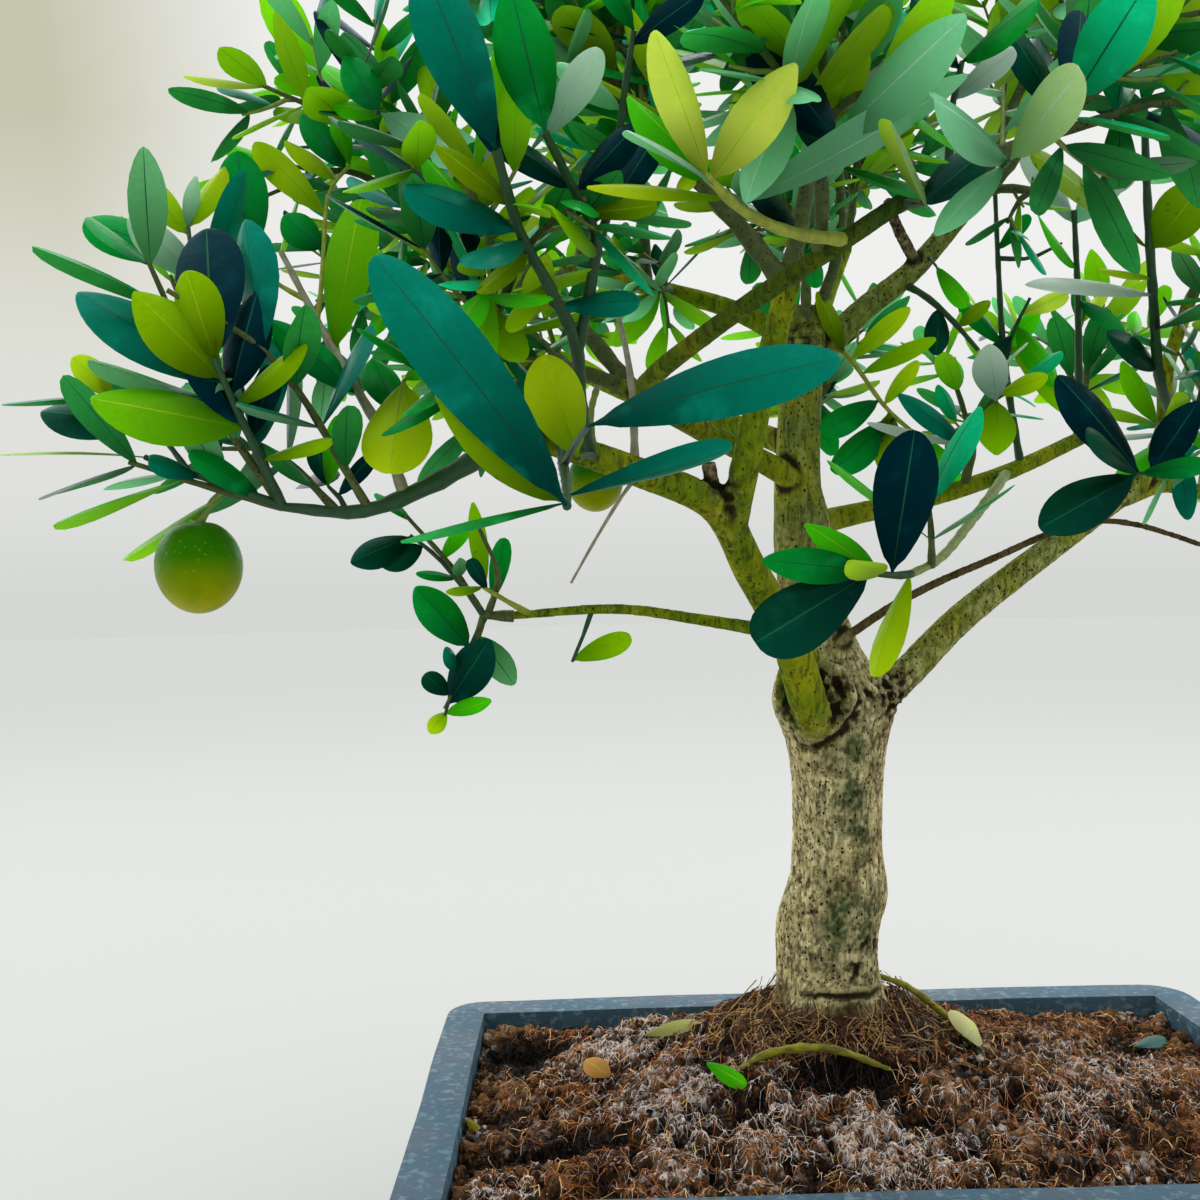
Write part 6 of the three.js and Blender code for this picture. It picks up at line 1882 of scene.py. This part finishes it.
def leaf_material(name, colour, through, shine):
    """A leaf's skin: painted shade at its root that gives way to painted light towards its tip, mottled in
    its tone and in painted sheen, satin, and letting some light through.
    """
    skin = Finish(name, scaled(colour, 0.12), 0.4)
    tint = skin.mottled(60, 3, 0.42, 0.72)
    sheen_patches = skin.mottled(120, 5, 0.54, 0.72)
    veins = skin.mottled(900, 3, 0.4, 0.65)
    tone = name.split()[0]
    # Painted shade at the root that gives way to painted light towards the tip.
    skin.over((skin.attribute("light"), scaled(colour, 2.6), 1.0))
    # Lighter mottling, partly the leaf's own tone and partly a painted sheen.
    skin.over((tint, scaled(colour, 1.9), 0.25))
    # Bluish pale patches on dark leaves: a painted sheen.
    if tone in DARK_TONES:
        sheen_colour = tuple(min(1, 2.6 * part + blue) for part, blue in zip(colour, PAINTED_SHEEN_BLUE))
        skin.over((sheen_patches, sheen_colour, 0.5))
    if tone in SPOTTED_TONES:
        spots = skin.speckled(480, 0.3, 0.10)
        skin.over((skin.times(spots, 4), (0.070, 0.045, 0.004), 0.85))
    skin.over((veins, scaled(colour, 0.72), 0.2))
    skin.relief((veins, 0.00002))
    skin.gloss(tint, shine, shine + 0.12)
    pale = tone in PALE_TONES
    skin.give("Specular IOR Level", 0.3 if pale else 0.24)
    sheen = DARK_SHEEN if tone in DARK_TONES else PALE_SHEEN if pale else YOUNG_SHEEN
    skin.give("Specular Tint", sheen)
    material = skin.done()
    glow = add_node(skin.tree, "BsdfTranslucent", {"Color": (*scaled(colour, 1.8), 1)})
    blend = {0: through, 1: skin.shader.outputs[0], 2: glow.outputs[0]}
    mix = add_node(skin.tree, "MixShader", blend)
    feed(skin.tree, skin.tree.nodes["Material Output"].inputs["Surface"], mix.outputs[0])
    return material


leaf_materials = [
    leaf_material(name + " leaf", colour, 0.3 + 0.18 * (name in YOUNG_TONES), 0.28)
    for name, (colour, *shares) in TONES.items()
]
leaf_materials += [leaf_material(name, colour, 0.4, 0.5) for name, colour in UNDER_TONES.items()]
leaf_materials += [leaf_material(name, colour, 0.2, 0.35) for name, colour in MIDRIB_TONES.items()]
UNDER = len(TONES)
MIDRIB = UNDER + len(UNDER_TONES)


def blade_faces(rows):
    """Faces of a blade: both tips are points, each row has 6 points above and 2 below."""
    width = len(BLADE_COLUMNS) + 2
    faces, kinds = [], []
    tip = 1 + rows * width
    for row in range(rows + 1):
        near = [0] * width if row == 0 else [1 + (row - 1) * width + k for k in range(width)]
        far = [tip] * width if row == rows else [1 + row * width + k for k in range(width)]
        for columns, above in ((BLADE_UPPER, True), (BLADE_LOWER, False)):
            for place, (one, other) in enumerate(zip(columns, columns[1:])):
                corners = [near[one], near[other], far[other], far[one]]
                if row == 0:
                    corners = [0, far[other], far[one]]
                elif row == rows:
                    corners = [near[one], near[other], tip]
                faces.append(tuple(corners if above else corners[::-1]))
                kinds.append(2 if place == len(columns) // 2 - 1 else int(not above))
    return faces, kinds


def blade_shares(rows):
    """Shares of a blade's length from tip to tip, closer together near both ends."""
    return (1 - np.cos(math.pi * np.arange(rows + 2) / (rows + 1))) / 2


def blade_points(leaf, rows, arch, cup, twist, widest):
    """Points of one blade in millimetres, arched, cupped and a little twisted."""
    shares = blade_shares(rows)[1:-1]
    blunt = (1 - widest) / widest
    outline = shares * (1 - shares) ** blunt / (widest * (1 - widest) ** blunt)
    outline *= np.clip(shares / PETIOLE_SHARE, 0, 1) ** 1.5
    half = leaf.width * leaf.length / 2 * outline + PETIOLE_HALF
    lifts = -arch * leaf.length * shares ** 2
    thick = BLADE_THICKNESS / 2
    points = [leaf.root]
    for share, side, lift in zip(shares, half, lifts):
        turn = twist * (share - 0.5)
        across = leaf.across * math.cos(turn) + leaf.face * math.sin(turn)
        face = np.cross(across, leaf.way)
        middle = leaf.root + leaf.way * share * leaf.length + leaf.face * lift
        for column in BLADE_COLUMNS:
            rise = -cup * side * column ** 2 + (thick if abs(column) < 1 else 0)
            points.append(middle + across * side * column + face * rise)
        for column in BLADE_COLUMNS[2:4]:
            sink = -cup * side * column ** 2 - thick
            points.append(middle + across * side * column + face * sink)
    points.append(leaf.root + leaf.way * leaf.length - leaf.face * arch * leaf.length)
    return np.array(points)


blade_kinds = {rows: blade_faces(rows) for rows in (BLADE_ROWS, SPRAY_BLADE_ROWS)}


def add_leaf(heap, leaf, tone, rows, vary):
    """Adds one leaf to a heap, with its own bend, and its skin by face."""
    faces, kinds = blade_kinds[rows]
    shape = 0.02 + 0.14 * vary(), 0.1 + 0.35 * vary(), 0.8 * (vary() - 0.5), 0.5 + 0.17 * vary()
    points = blade_points(leaf, rows, *shape) * MM
    # Painted light and shade along the blade: dark at the root and light at the tip; grown leaves also a
    # little lighter or darker at random.
    along = np.repeat(blade_shares(rows), [1] + [len(BLADE_COLUMNS) + 2] * rows + [1])
    risen = along ** 2 * (3 - 2 * along)
    if rows == SPRAY_BLADE_ROWS:
        # Spray leaves of the bright tone are lit further, as painted light.
        own = 1.8 if tone == "bright" else 0.78
        heap.lights.append((0.04 + 0.96 * risen) * own)
    else:
        heap.lights.append((0.25 + 0.75 * risen) * (0.5 + 0.6 * vary()))
    young, pale = tone in YOUNG_TONES, tone.split()[0] in PALE_TONES
    under = UNDER + (1 if pale else 2 if young else int(vary() < 0.25))
    rib = MIDRIB + (2 if pale else int(young))
    skins = TONE_NAMES.index(tone), under, rib
    heap.add(points, faces, [skins[kind] for kind in kinds])


bark_twig = Finish("twig bark", (0.055, 0.085, 0.018), 0.8)
twig_streaks = bark_twig.mottled(420, 5, 0.4, 0.65)
twig_pores = bark_twig.speckled(900, 0.36, 0.4)
bark_twig.over(
    (twig_streaks, (0.13, 0.15, 0.035), 0.6),
    (bark_twig.times(twig_pores, 4), (0.035, 0.025, 0.012), 0.8),
)
bark_twig.relief((twig_streaks, 0.0002))
young_twig = Finish("young twig", (0.22, 0.30, 0.05), 0.6)
young_streaks = young_twig.mottled(500, 4, 0.4, 0.6)
young_twig.over((young_streaks, (0.13, 0.16, 0.03), 0.6))
young_stalk = young_twig.done()
twig_materials = [bark_twig.done(), young_stalk]
for name, colour in SPRAY_SKINS.items():
    skin = Finish(name, colour, 0.6)
    streaks = skin.mottled(400, 4, 0.4, 0.6)
    skin.over((streaks, scaled(colour, 0.5), 0.6))
    twig_materials.append(skin.done())

# Each piece of the crown takes in a few masses, and some an inner mass that fills its middle.
GROUPS = {
    "left": ["left_tip", "left_low", "left_mid", "left_upper", "left_back"],
    "front": ["front_left", "front_centre", "front_right", "right_front_low"],
    "front_high": ["front_upper", "front_left_upper", "front_high"],
    "right": ["right_front", "right_mid", "right_outer", "right_high"],
    "back": ["right_back", "back", "back_left", "back_high"],
    "top": ["right_upper", "back_left_high", "left_high", "top"],
}
INNER_GROUPS = {"inner_upper": "top", "inner_right": "right", "inner_left": "back"}
for group, names in GROUPS.items():
    leaves_heap, twigs_heap = Heap(), Heap()
    for name in names + [inner for inner, home in INNER_GROUPS.items() if home == group]:
        mass = MASSES.get(name) or INNER[name]
        twigs, leaves = grow(name, mass)
        vary = seeded(mass["seed"] + 1300)
        for way, root, tip, skin in twigs:
            steps = max(3, round(way.length / 4) + 1)
            radii = np.linspace(root, tip, steps) * (1 + 0.1 * np.sin(np.arange(steps) * 2.3))
            line = way.at(np.linspace(0, 1, steps))
            twigs_heap.add_tube(line, radii, 8 if root > 1 else 6, skin, MM)
        for leaf in spray_leaves.get(name, []):
            add_leaf(leaves_heap, leaf, leaf.tone, SPRAY_BLADE_ROWS, vary)
        yellower = mass["at"][0] < YELLOWER_LEFT_OF or mass["at"][1] > YELLOWER_BEHIND
        limits = TONE_LIMITS[:, 0 if yellower else 1]
        for leaf in leaves:
            dealt = vary() if vary() < 0.2 else leaf.tone
            tone = TONE_NAMES[int(np.searchsorted(limits, dealt * 0.9999))]
            leaf.width = 0.27 + 0.12 * vary()
            add_leaf(leaves_heap, leaf, tone, BLADE_ROWS, vary)
    leaf_piece = leaves_heap.piece("leaves_" + group, leaf_materials)
    twig_piece = twigs_heap.piece("twigs_" + group, twig_materials)
    for piece, slot in ((leaf_piece, "foliage"), (twig_piece, "bough_bark")):
        shade_smooth(piece, 65)
        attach(piece, "root")
        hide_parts(*["foliage_" + name for name in names])

# Fallen leaves: a few that have dropped on the soil, most of them faded. Each has its place, turn,
# length, width over length, tone, and how far it leans towards the pot's front.
FALLEN = [
    (-78, 0, 118, 17, 0.38, "rust", 1.2), (-121, -15, 50, 11, 0.6, "ochre", 0.6),
    (-50, -17, -28, 13, 0.36, "fresh", 1.0), (28, -10, 62, 19, 0.8, "straw", 1.6),
    (-66, 24, -12, 19, 0.26, "straw", 0.6), (96, 28, 30, 17, 0.3, "deep", 0.3),
]
FALLEN_LIFT = 2.6
fallen = Heap()
vary = seeded(77)
for x, y, turn, length, width, tone, lean in FALLEN:
    way = np.array((math.cos(math.radians(turn)), math.sin(math.radians(turn)), 0))
    ends = [(np.array((x, y)) + way[:2] * length * share) * MM for share in (0, 1)]
    root_height, tip_height = (soil_height(*end) / MM for end in ends)
    aim = unit(way + UP * (tip_height - root_height) / length)
    face = unit(UP - aim * (UP @ aim) + np.array((0, -lean, 0)))
    face = unit(face - aim * (face @ aim))
    root = np.array((x, y, root_height + FALLEN_LIFT + lean))
    add_leaf(fallen, Leaf(root, aim, face, length, tone, width), tone, BLADE_ROWS, vary)
fallen_piece = fallen.piece("fallen_leaves", leaf_materials)
shade_smooth(fallen_piece, 65)
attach(fallen_piece, "root")


# Fruit: two unripe olives, green with a yellow cheek and faint pale dots, each hung by a thin
# stalk that ends in a small collar on its shoulder. Each has the mass that bears it, where its
# stalk leaves that stem, a point on the stalk's way, its middle, its radius and its height's share.
FRUITS = [
    ("left_tip", 1.0, (-168, -80, 250), (-175, -80, 232), 10.2, 1.1),
    ("left_mid", 0.3, (-80, -22, 274), (-79, -16, 256), 8.2, 1.08),
]
STALK_RADIUS, COLLAR_RADIUS, COLLAR_SHARE = 0.85, 0.9, 0.93
olive = Finish("green olive skin", (0.022, 0.165, 0.001), 0.42)
blush = olive.mottled(150, 4, 0.4, 0.62)
dots = olive.speckled(900, 0.34, 0.4)
olive.over(
    (olive.attribute("ripe"), (0.390, 0.370, 0.001), 0.95),
    (blush, (0.070, 0.210, 0.001), 0.35),
    (olive.times(dots, 3), (0.200, 0.380, 0.010), 0.3),
)
olive.give("Specular IOR Level", 0.2)
olive.give("Specular Tint", (0.4, 1.0, 0.05, 1))
olive.relief((blush, 0.0002))
olive_skin = olive.done()
for name, share, over, middle, radius, tall in FRUITS:
    bpy.ops.mesh.primitive_uv_sphere_add(segments=48, ring_count=32, radius=radius * MM)
    fruit = bpy.context.object
    fruit.name = "olive_" + name
    ripeness = []
    for vertex in fruit.data.vertices:
        height = vertex.co.z / (radius * MM)
        dimple = 0.05 * math.exp(-((1 - height) / 0.05))
        vertex.co.x *= 1 + 0.02 * height
        vertex.co.y *= 1 + 0.02 * height
        vertex.co.z *= tall * (1 - dimple)
        vertex.co += Vector(middle) * MM
        ripeness.append(within(0.22 - 0.95 * height))
    mark(fruit, "ripe", ripeness)
    fruit.data.materials.append(olive_skin)
    top = (middle[0], middle[1], middle[2] + radius * tall * 0.93)
    way = Way([Way(MASSES[name]["stem"]).at(share), over, top])
    shares = np.linspace(0, 1, 24)
    collar = COLLAR_RADIUS * np.clip((shares - COLLAR_SHARE) / (1 - COLLAR_SHARE), 0, 1)
    radii = STALK_RADIUS + 0.2 * np.sin(shares * 19) ** 2 + collar
    stalk_points, stalk_faces = tube(way.at(shares), radii, 12)
    stalk = plain_mesh(fruit.name + "_stalk", stalk_points * MM, stalk_faces)
    stalk.data.materials.append(young_stalk)
    for piece in (fruit, stalk):
        shade_smooth(piece, 60)
        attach(piece, "root")
        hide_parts("foliage_" + name)
